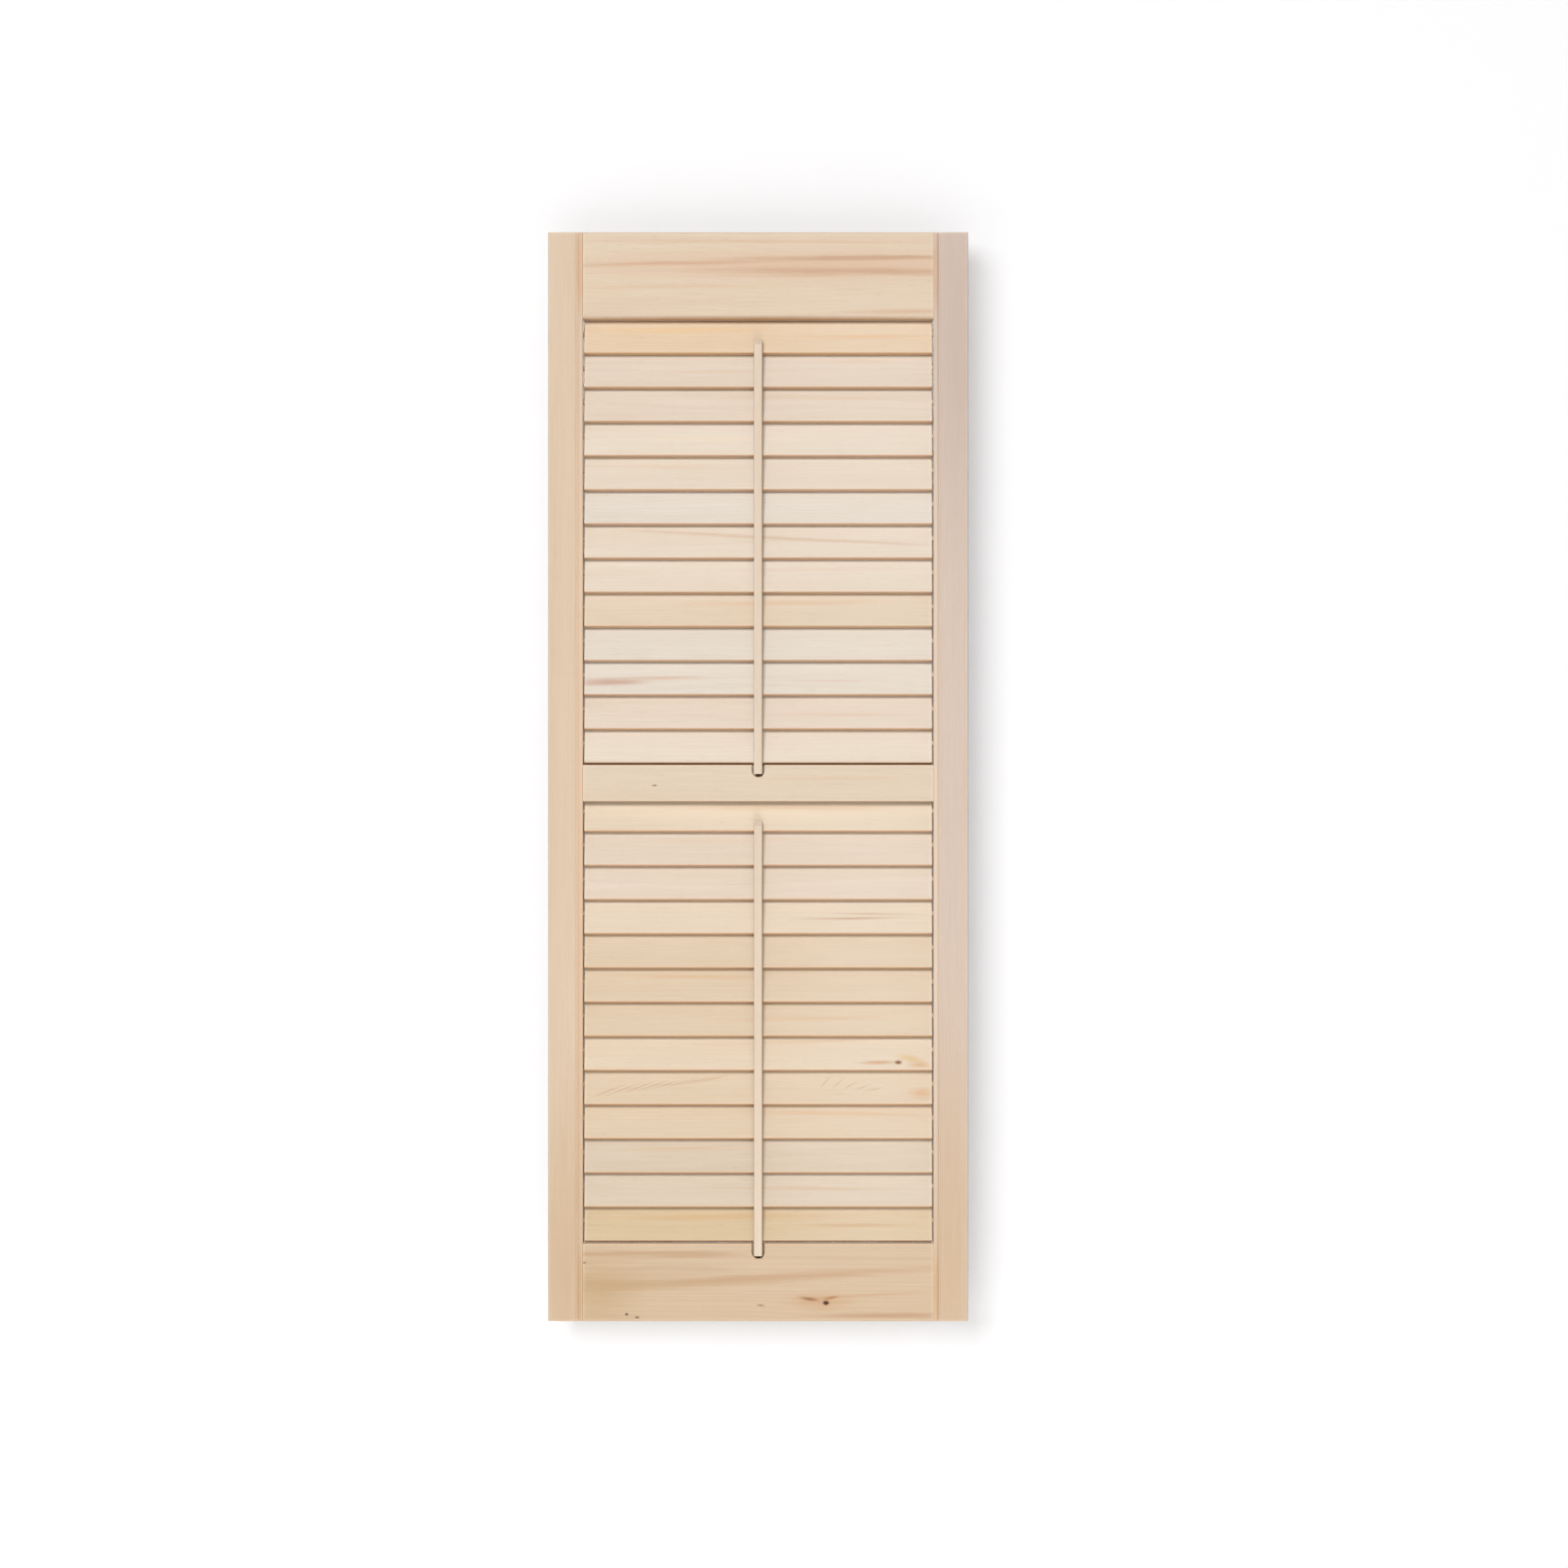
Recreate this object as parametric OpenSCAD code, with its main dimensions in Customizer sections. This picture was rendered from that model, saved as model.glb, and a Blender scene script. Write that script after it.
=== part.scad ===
// Movable-louver shutter panel with two banks of louvers.
// Front faces -Y, +Z is up. The origin is the middle of the bottom edge,
// halfway through the thickness of the stiles.

/* [Panel] */
// Width over both stiles
panel_w = 312; // [260:1:600]
// Height over the top and bottom rails
panel_h = 809; // [700:1:1200]
// Thickness of the stiles
stile_t = 19; // [18:0.5:28]
// Thickness of the rails
rail_t = 17.4; // [16.5:0.1:18]

/* [Stiles] */
// Face width of a stile
stile_w = 25.8; // [22:0.1:60]
// Radius of the bead along a stile's inner front edge
bead_r = 2.3; // [1.5:0.1:3]
// Width of the quirk beside the bead
quirk_w = 0.7; // [0.4:0.1:1.5]
// Depth of the quirk beside the bead
quirk_d = 0.7; // [0.3:0.1:1.4]

/* [Rails] */
// Height of the top rail
top_rail_h = 64.7; // [50:0.1:100]
// Height of the middle rail
middle_rail_h = 27.3; // [26:0.1:80]
// Height of the bottom rail
bottom_rail_h = 57.9; // [40:0.1:120]
// Radius of the rounded lower front edge of the top rail
top_rail_nose_r = 3; // [1:0.1:4]
// Width of the small chamfer on every other long edge
arris = 0.6; // [0.3:0.1:1]

/* [Louvers] */
// Louvers in each bank
louver_count = 13; // [6:1:13]
// Thickness of a louver
louver_t = 5.6; // [4.5:0.1:7]
// How far each louver laps over the next one when closed
louver_lap = 6.35; // [5:0.05:8]
// Gap between two closed louvers, and between a louver and a rebate
closed_gap = 0.35; // [0.3:0.05:0.6]
// Gap between the lowest louver of a bank and the rail below it
sill_gap = 0.225; // [0.2:0.005:1]
// From the top rail's lower edge down to the first pivot
upper_drop = 10; // [8:0.1:13]
// From the middle rail's lower edge down to the first pivot
lower_drop = 7.3; // [6.5:0.1:10]
// Gap between a louver's end and the stile
end_gap = 1.6; // [0.8:0.1:3]
// Diameter of the turned pivot pins
pin_d = 4; // [3:0.1:4.4]
// Length of a pin inside its stile
pin_seat = 7.5; // [5:0.5:10]
// Radial clearance of a pin in its hole
pin_clearance = 0.08; // [0.05:0.01:0.1]
// Gap past the end of a pin or dowel in its hole
hole_end_gap = 0.8; // [0.5:0.1:1.5]

/* [Tilt rods] */
// Width of a tilt rod
rod_w = 6.35; // [5:0.05:8]
// Depth of a tilt rod, front to back
rod_d = 6.35; // [5.5:0.05:9]
// From a rod's back face to the hinge line of its staples
rod_standoff = 2.4; // [2.2:0.05:4]
// Upper rod: length above its first staple
upper_rod_head = 13; // [9:0.1:16]
// Upper rod: length below its last staple
upper_rod_tail = 5.1; // [4:0.1:7]
// Lower rod: length above its first staple
lower_rod_head = 11; // [8:0.1:14]
// Lower rod: length below its last staple
lower_rod_tail = 7.4; // [4:0.1:8]
// Height of the sloped cut on the front of a rod's top end
rod_bevel_h = 4; // [2:0.1:6]
// Depth of the sloped cut on the front of a rod's top end
rod_bevel_d = 2.4; // [1:0.1:4]

/* [Staples] */
// Diameter of the staple wire
wire_d = 1; // [0.8:0.05:1.2]
// From a louver's edge out to the hinge line of its staple
staple_reach = 2.5; // [2.3:0.05:3]
// Half the width of a louver's staple, at the middle of the wire
louver_staple_half_w = 2; // [1.8:0.1:2.2]
// Corner radius of a louver's staple, at the middle of the wire
louver_corner_r = 0.9; // [0.7:0.05:1.2]
// Half the height of a rod's staple, which is bent to a half circle
rod_staple_half_h = 1.3; // [1.2:0.05:1.4]
// Length of a louver staple's legs inside the wood
louver_leg = 6.5; // [4:0.5:9]
// Length of a rod staple's legs inside the wood
rod_leg = 4; // [3:0.25:5]
// Radial clearance of the wire in its holes
wire_clearance = 0.03; // [0.02:0.01:0.06]

/* [Mouse holes] */
// Gap on each side of the rod in a mouse hole
mouse_side_gap = 1.5; // [1:0.1:3]
// Gap below the rod in a mouse hole
mouse_end_gap = 2.2; // [1.5:0.1:4]
// Gap behind the staples in a mouse hole
mouse_back_gap = 0.5; // [0.3:0.1:1]

/* [Dowels] */
// Diameter of the dowels that join rails and stiles
dowel_d = 6.35; // [5:0.05:7]
// Length of a dowel
dowel_l = 25; // [16:1:34]
// Radial clearance of a dowel in its hole
dowel_clearance = 0.05; // [0.02:0.01:0.1]

/* [Hidden] */
$fn = 48;
wood_tone = "#E4CDAE";
louver_tone = "#E9D6BC";
rod_tone = "#EBD8BF";
dowel_tone = "#CFAE7E";
wire_tone = "#A9A39A";

// Overshoot of a cut past the surface that it opens
cut = 1;

// Clear opening between the stiles
clear_w = panel_w - 2*stile_w;
louver_l = clear_w - 2*end_gap;

// Each bank takes the same pitch. What is left between the rails holds
// 2*(louver_count - 1) pitches and two half louvers, each half a pitch and half a lap.
rails_h = top_rail_h + middle_rail_h + bottom_rail_h;
pitch_room = panel_h - rails_h - upper_drop - lower_drop - louver_lap - 2*sill_gap;
pitch = pitch_room / (2*louver_count - 1);
louver_w = pitch + louver_lap;

// Lean of the closed louvers: neighbours lie closed_gap apart, face to face
tilt = asin((louver_t + closed_gap) / pitch);

// Heights of the rails' edges and of the first and last pivots
top_rail_z = panel_h - top_rail_h;
upper_first_z = top_rail_z - upper_drop;
upper_last_z = upper_first_z - (louver_count - 1)*pitch;
middle_rail_z = upper_last_z - louver_w/2 - sill_gap - middle_rail_h;
lower_first_z = middle_rail_z - lower_drop;

// Hinge line between a louver's staple and the rod's staple, seen from the pivot
hinge_r = louver_w/2 + staple_reach;
hinge_y = -hinge_r*sin(tilt);
hinge_dz = -hinge_r*cos(tilt);

rod_back_y = hinge_y - rod_standoff;
// End of a rod staple's legs, measured from its crown
rod_leg_end = rod_staple_half_h + rod_standoff + rod_leg;
mouse_w = rod_w + 2*mouse_side_gap;
mouse_back_y = hinge_y + rod_staple_half_h + wire_d/2 + mouse_back_gap;

function two_digits(i) = i < 10 ? str("0", i) : str(i);
function numbered(stem) = [for (i = [1:louver_count]) str(stem, "_", two_digits(i))];
function pivot_z(first_z, i) = first_z - (i - 1)*pitch;

// Points of an arc about [x, y], from angle a0 to angle a1
function arc(x, y, r, a0, a1, steps = 6) =
    [for (k = [0:steps]) let (a = a0 + (a1 - a0)*k/steps) [x + r*cos(a), y + r*sin(a)]];

// Back of the front lip that the first louver closes behind
function lip_y(drop) = drop*tan(tilt) - louver_t/(2*cos(tilt)) - closed_gap;
// Height of the rebate above the rail's lower edge
function rebate_h(drop) = louver_w/2 + closed_gap - drop;

// The heights of two dowels, in the full-thickness stretch of a rail
function dowel_heights(z, h, rebate) = [for (f = [0.25, 0.75]) z + rebate + f*(h - rebate)];

upper_rebate = rebate_h(upper_drop);
lower_rebate = rebate_h(lower_drop);
dowel_zs = concat(
    dowel_heights(top_rail_z, top_rail_h, upper_rebate),
    dowel_heights(middle_rail_z, middle_rail_h, lower_rebate),
    dowel_heights(0, bottom_rail_h, 0)
);

// Section of the left stile: x runs from its outer edge, y from its front face
module stile_section() {
    bead_x = stile_w - bead_r;
    quirk_x = stile_w - 2*bead_r - quirk_w;
    difference() {
        polygon([
            [0, arris], [arris, 0], [stile_w, 0],
            [stile_w, stile_t - arris], [stile_w - arris, stile_t],
            [arris, stile_t], [0, stile_t - arris]
        ]);
        translate([quirk_x, -cut]) square([2*bead_r + quirk_w + cut, cut + bead_r]);
    }
    translate([quirk_x, quirk_d]) square([bead_r + quirk_w, bead_r - quirk_d + cut]);
    translate([bead_x, bead_r]) circle(bead_r);
}

// Round hole from a stile's inner face into the wood
module inner_hole(z, d, depth) {
    translate([-clear_w/2 + cut, 0, z])
        rotate([0, -90, 0])
            cylinder(d = d, h = depth + cut);
}

module stile() {
    difference() {
        translate([-panel_w/2, -stile_t/2, 0])
            linear_extrude(panel_h) stile_section();
        for (first_z = [upper_first_z, lower_first_z], i = [1:louver_count])
            inner_hole(pivot_z(first_z, i), pin_d + 2*pin_clearance, pin_seat + hole_end_gap);
        for (z = dowel_zs)
            inner_hole(z, dowel_d + 2*dowel_clearance, dowel_l/2 + hole_end_gap);
    }
}

module left_stile() {
    color(wood_tone) stile();
}

module right_stile() {
    color(wood_tone) mirror([1, 0, 0]) stile();
}

// Rail with its ends bored for dowels. The section is drawn in [y, z]
// from the middle of the thickness and the rail's lower edge.
module rail(z, h, rebate, nose, lip) {
    half = rail_t/2;
    foot = rebate > 0
        ? [[half, rebate], [lip, rebate], [lip, 0]]
        : [[half, arris], [half - arris, 0]];
    difference() {
        translate([-clear_w/2, 0, z])
            rotate([90, 0, 90])
                linear_extrude(clear_w)
                    polygon(concat(
                        [[-half, h - arris], [-half + arris, h], [half - arris, h], [half, h - arris]],
                        foot,
                        arc(-half + nose, nose, nose, 270, 180)
                    ));
        for (side = [-1, 1], dowel_z = dowel_heights(z, h, rebate))
            translate([side*(clear_w/2 - (dowel_l/2 + hole_end_gap - cut)/2), 0, dowel_z])
                rotate([0, 90, 0])
                    cylinder(d = dowel_d + 2*dowel_clearance, h = dowel_l/2 + hole_end_gap + cut, center = true);
    }
}

// Round-ended slot in a rail's front for the end of a tilt rod and its last staple
module mouse_hole(rail_top_z, rod_end_z) {
    depth = mouse_back_y + rail_t/2;
    floor_z = rod_end_z - mouse_end_gap;
    translate([0, mouse_back_y, floor_z + mouse_w/2])
        rotate([90, 0, 0])
            cylinder(d = mouse_w, h = depth + cut);
    translate([-mouse_w/2, mouse_back_y - depth - cut, floor_z + mouse_w/2])
        cube([mouse_w, depth + cut, rail_top_z - floor_z - mouse_w/2 + cut]);
}

module top_rail() {
    color(wood_tone)
        rail(top_rail_z, top_rail_h, upper_rebate, top_rail_nose_r, lip_y(upper_drop));
}

module middle_rail() {
    color(wood_tone)
        difference() {
            rail(middle_rail_z, middle_rail_h, lower_rebate, arris, lip_y(lower_drop));
            mouse_hole(middle_rail_z + middle_rail_h, rod_end_z(upper_first_z, upper_rod_tail));
        }
}

module bottom_rail() {
    color(wood_tone)
        difference() {
            rail(0, bottom_rail_h, 0, arris, 0);
            mouse_hole(bottom_rail_h, rod_end_z(lower_first_z, lower_rod_tail));
        }
}

module rail_dowels() {
    color(dowel_tone)
        for (side = [-1, 1], z = dowel_zs)
            translate([side*clear_w/2, 0, z])
                rotate([0, 90, 0])
                    cylinder(d = dowel_d, h = dowel_l, center = true);
}

// U-shaped wire staple with round corners. The middle of its crown is at the origin,
// the crown runs along x, and the legs run along +z to the given length.
module staple(half_w, corner_r, leg_end) {
    crown_w = 2*(half_w - corner_r);
    if (crown_w > 0)
        rotate([0, 90, 0]) cylinder(d = wire_d, h = crown_w, center = true);
    for (side = [0, 1])
        mirror([side, 0, 0]) {
            translate([half_w - corner_r, 0, corner_r])
                rotate([90, 0, 0])
                    rotate_extrude(angle = -90)
                        translate([corner_r, 0]) circle(d = wire_d);
            translate([half_w, 0, corner_r])
                cylinder(d = wire_d, h = leg_end - corner_r);
        }
}

// Pair of holes for a staple's legs, on the same axes, from z = start to the given end
module staple_holes(half_w, start, end) {
    for (side = [-1, 1])
        translate([side*half_w, 0, start])
            cylinder(d = wire_d + 2*wire_clearance, h = end - start);
}

// Puts its children in a louver's own frame: pivot along x, front edge down, then leaned back
module at_pivot(z) {
    translate([0, 0, z]) rotate([-tilt, 0, 0]) children();
}

// Puts its children on the crown of a louver's staple, with +z towards the pivot
module at_louver_crown() {
    translate([0, 0, -hinge_r]) children();
}

module louver_section() {
    half = (louver_w - louver_t)/2;
    square([louver_t, 2*half], center = true);
    for (end = [-1, 1])
        translate([0, end*half]) circle(d = louver_t);
}

module louver(z) {
    pin_end = louver_l/2 + end_gap + pin_seat;
    color(louver_tone)
        at_pivot(z) {
            difference() {
                rotate([90, 0, 90])
                    linear_extrude(louver_l, center = true) louver_section();
                at_louver_crown()
                    staple_holes(louver_staple_half_w, louver_corner_r, staple_reach + louver_leg + hole_end_gap);
            }
            for (side = [-1, 1])
                rotate([0, side*90, 0])
                    translate([0, 0, louver_l/2 - cut])
                        cylinder(d = pin_d, h = pin_end - louver_l/2 + cut);
        }
}

module louver_staple(z) {
    color(wire_tone)
        at_pivot(z)
            at_louver_crown() staple(louver_staple_half_w, louver_corner_r, staple_reach + louver_leg);
}

function hinge_z(first_z, i) = pivot_z(first_z, i) + hinge_dz;
function rod_end_z(first_z, tail) = hinge_z(first_z, louver_count) - tail;

// Puts its children on the crown of a rod's staple, with +z towards the rod and x upright
module at_rod_crown(z) {
    translate([0, hinge_y + rod_staple_half_h, z]) rotate([90, 0, 0]) rotate([0, 0, 90]) children();
}

// Square tilt rod, from its lower end to its sloped top end
module rod_stick(first_z, head, tail) {
    low = rod_end_z(first_z, tail);
    high = hinge_z(first_z, 1) + head;
    front_y = rod_back_y - rod_d;
    difference() {
        translate([-rod_w/2, 0, 0])
            rotate([90, 0, 90])
                linear_extrude(rod_w)
                    polygon([
                        [front_y, low], [rod_back_y, low], [rod_back_y, high],
                        [front_y + rod_bevel_d, high], [front_y, high - rod_bevel_h]
                    ]);
        for (i = [1:louver_count])
            at_rod_crown(hinge_z(first_z, i))
                staple_holes(rod_staple_half_h, rod_staple_half_h, rod_leg_end + hole_end_gap);
    }
}

module tilt_rod(first_z, head, tail) {
    color(rod_tone) rod_stick(first_z, head, tail);
    color(wire_tone)
        for (i = [1:louver_count])
            at_rod_crown(hinge_z(first_z, i))
                staple(rod_staple_half_h, rod_staple_half_h, rod_leg_end);
}

left_stile();
right_stile();
top_rail();
middle_rail();
bottom_rail();
rail_dowels();
for (i = [1:louver_count]) {
    tag = two_digits(i);
    upper_z = pivot_z(upper_first_z, i);
    lower_z = pivot_z(lower_first_z, i);
    louver(upper_z);
    louver(lower_z);
    louver_staple(upper_z);
    louver_staple(lower_z);
}
tilt_rod(upper_first_z, upper_rod_head, upper_rod_tail);  // upper_tilt_rod
tilt_rod(lower_first_z, lower_rod_head, lower_rod_tail);  // lower_tilt_rod
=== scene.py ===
"""Louvered shutter panel in bare softwood, dressed for the studio.

The panel has two stiles with a bead along their inner edges, three rails, two
banks of thirteen turning louvers, and a tilt rod stapled to each bank.
"""

import logging
import math
from collections.abc import Callable, Sequence
from dataclasses import dataclass, field
from enum import Enum

import bmesh
import bpy
from mathutils import Matrix, Vector


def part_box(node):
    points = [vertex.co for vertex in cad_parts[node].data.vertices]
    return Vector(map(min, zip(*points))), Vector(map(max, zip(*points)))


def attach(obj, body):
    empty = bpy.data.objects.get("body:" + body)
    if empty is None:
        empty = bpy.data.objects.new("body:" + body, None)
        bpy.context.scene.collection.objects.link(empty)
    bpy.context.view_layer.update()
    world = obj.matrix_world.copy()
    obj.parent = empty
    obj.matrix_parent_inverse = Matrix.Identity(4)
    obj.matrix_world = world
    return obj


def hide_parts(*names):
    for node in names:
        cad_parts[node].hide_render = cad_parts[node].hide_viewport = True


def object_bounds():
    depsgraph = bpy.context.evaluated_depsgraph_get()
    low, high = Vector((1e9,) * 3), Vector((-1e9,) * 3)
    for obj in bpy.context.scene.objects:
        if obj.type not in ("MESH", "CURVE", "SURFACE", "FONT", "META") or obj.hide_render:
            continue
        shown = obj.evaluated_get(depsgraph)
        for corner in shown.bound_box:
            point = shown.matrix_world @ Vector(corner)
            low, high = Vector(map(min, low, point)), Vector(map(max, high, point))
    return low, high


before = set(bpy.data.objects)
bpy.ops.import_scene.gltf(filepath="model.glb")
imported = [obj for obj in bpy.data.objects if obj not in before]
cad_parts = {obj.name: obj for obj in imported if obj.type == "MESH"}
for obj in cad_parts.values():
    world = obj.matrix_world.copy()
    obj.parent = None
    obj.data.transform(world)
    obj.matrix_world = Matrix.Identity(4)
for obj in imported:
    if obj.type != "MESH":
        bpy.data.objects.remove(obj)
CAD_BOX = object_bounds()

log = logging.getLogger("shutter")

Point = tuple[float, float]
Triple = tuple[float, float, float]
Colour = tuple[float, float, float, float]
Piece = bpy.types.Object
Material = bpy.types.Material
Tree = bpy.types.NodeTree
Node = bpy.types.Node
Socket = bpy.types.NodeSocket
MM = 0.001
PROUD = 1 * MM  # how far a cutter stands out past the face it cuts
VECTOR, NUMBER = "NodeSocketVector", "NodeSocketFloat"
ORIGIN = (0.0, 0.0, 0.0)


# --- Outlines and meshes


def paint(chip: str) -> Colour:
    """Turns a colour chip into scene colour.

    Args:
        chip: The colour as "#RRGGBB".

    Returns:
        The linear colour with full alpha.
    """
    parts = [int(chip[i : i + 2], 16) / 255 for i in (1, 3, 5)]
    return (*[p / 12.92 if p <= 0.04045 else ((p + 0.055) / 1.055) ** 2.4 for p in parts], 1.0)


def arc(centre: Point, radius: float, start: float, end: float, steps: int = 5) -> list[Point]:
    """Draws an arc as points.

    Args:
        centre: Middle of the circle.
        radius: Its radius.
        start: First angle in degrees.
        end: Last angle in degrees.
        steps: How many straight steps it takes.

    Returns:
        The points from the first angle to the last.
    """
    angles = [math.radians(start + (end - start) * k / steps) for k in range(steps + 1)]
    return [(centre[0] + radius * math.cos(a), centre[1] + radius * math.sin(a)) for a in angles]


def drawn_in(outline: Sequence[Point], depth: float) -> list[Point]:
    """Moves a closed outline inwards along its mitres.

    Args:
        outline: The corners in order, either way round.
        depth: How far each side moves inwards; a negative depth moves them out.

    Returns:
        The moved corners.
    """
    count = len(outline)
    area = sum(
        outline[i][0] * outline[(i + 1) % count][1] - outline[(i + 1) % count][0] * outline[i][1]
        for i in range(count)
    )
    turn = math.copysign(1.0, area)
    moved = []
    for i, here in enumerate(outline):
        before, after = outline[i - 1], outline[(i + 1) % count]
        normals = []
        for a, b in ((before, here), (here, after)):
            run = math.dist(a, b)
            normals.append((-turn * (b[1] - a[1]) / run, turn * (b[0] - a[0]) / run))
        (ax, ay), (bx, by) = normals
        share = depth / max(0.35, 1 + ax * bx + ay * by)
        moved.append((here[0] + share * (ax + bx), here[1] + share * (ay + by)))
    return moved


def eased_stations(start: float, end: float, ease: float) -> list[Point]:
    """Lays out the sections along a stick whose ends are lightly rounded over.

    Args:
        start: Where the stick starts.
        end: Where it ends.
        ease: Radius of the rounding at both ends.

    Returns:
        Pairs of place along the stick and how far the section is drawn in.
    """
    turns = map(math.radians, (90, 60, 30, 0))
    near = [(ease * (1 - math.sin(a)), ease * (1 - math.cos(a))) for a in turns]
    far = [(end - along, draw) for along, draw in reversed(near)]
    return [(start + along, draw) for along, draw in near] + far


def skin(name: str, rings: Sequence[Sequence[Vector]]) -> Piece:
    """Joins rings of equally many points into one closed mesh object.

    Args:
        name: Name of the new object.
        rings: The rings in order; the first and the last are closed with a face.

    Returns:
        The object, linked to the scene.
    """
    bm = bmesh.new()
    made = [[bm.verts.new(p) for p in ring] for ring in rings]
    count = len(made[0])
    for low, high in zip(made, made[1:]):
        for i in range(count):
            j = (i + 1) % count
            bm.faces.new((low[i], low[j], high[j], high[i]))
    bm.faces.new(made[0])
    bm.faces.new(made[-1])
    bmesh.ops.recalc_face_normals(bm, faces=bm.faces)
    return from_bmesh(name, bm)


def from_bmesh(name: str, bm: bmesh.types.BMesh) -> Piece:
    """Makes an object of a finished bmesh and frees the bmesh.

    Args:
        name: Name of the new object.
        bm: The bmesh.

    Returns:
        The object, linked to the scene.
    """
    mesh = bpy.data.meshes.new(name)
    bm.to_mesh(mesh)
    bm.free()
    made = bpy.data.objects.new(name, mesh)
    bpy.context.scene.collection.objects.link(made)
    return made


def stick(
    name: str,
    outline: Sequence[Point],
    stations: Sequence[Point],
    place: Callable[[float, float, float], Triple],
) -> Piece:
    """Runs a moulded section along a line.

    Args:
        name: Name of the new object.
        outline: The section.
        stations: Pairs of place along the line and how far the section is drawn in there.
        place: Gives the point for a place along the line and a corner of the section.

    Returns:
        The moulded stick.
    """
    return skin(
        name, [[Vector(place(along, *p)) for p in drawn_in(outline, draw)] for along, draw in stations]
    )


def drill(face: float, turn: int, height: float, profile: Sequence[Point], steps: int = 24) -> Piece:
    """Makes a drill that goes sideways into a piece.

    Args:
        face: Where across the piece the hole starts.
        turn: 1 to drill towards +x and -1 towards -x.
        height: Height of the hole.
        profile: Pairs of depth and radius.
        steps: Sides of the drill.

    Returns:
        The drill as an object.
    """
    place = Matrix.Translation((face, 0, height)) @ Matrix.Rotation(math.radians(90 * turn), 4, "Y")
    rings = []
    for depth, radius in profile:
        ring = arc((0, 0), radius, 0, 360 * (steps - 1) / steps, steps - 1)
        rings.append([place @ Vector((x, y, depth)) for x, y in ring])
    return skin("drill", rings)


def joined(objects: Sequence[Piece]) -> Piece:
    """Merges objects that stand at the origin into the first one.

    Args:
        objects: The objects; all but the first are removed.

    Returns:
        The first object.
    """
    bm = bmesh.new()
    for part in objects:
        bm.from_mesh(part.data)
    first = objects[0]
    bm.to_mesh(first.data)
    bm.free()
    for part in objects[1:]:
        bpy.data.objects.remove(part)
    return first


def cut_away(body: Piece, cutters: Sequence[Piece]) -> None:
    """Cuts drills and slot cutters out of a piece.

    Args:
        body: The piece, changed in place.
        cutters: What is cut away; the cutters are removed.
    """
    tool = joined(cutters)
    step = body.modifiers.new("cut", "BOOLEAN")
    step.operation = "DIFFERENCE"
    step.solver = "EXACT"
    step.object = tool
    graph = bpy.context.evaluated_depsgraph_get()
    fresh = bpy.data.meshes.new_from_object(body.evaluated_get(graph))
    old = body.data
    body.modifiers.clear()
    body.data = fresh
    bpy.data.meshes.remove(old)
    bpy.data.objects.remove(tool)


def smooth_over(body: Piece, crease: float = 38.0) -> None:
    """Shades a piece smooth over its roundings, while its flats stay flat.

    Args:
        body: The piece.
        crease: Edges that turn by more than this many degrees stay crisp.
    """
    body.data.shade_smooth()
    body.data.set_sharp_from_angle(angle=math.radians(crease))
    even = body.modifiers.new("flat faces", "WEIGHTED_NORMAL")
    even.keep_sharp = True
    even.weight = 90


# --- Shader nodes


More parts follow.
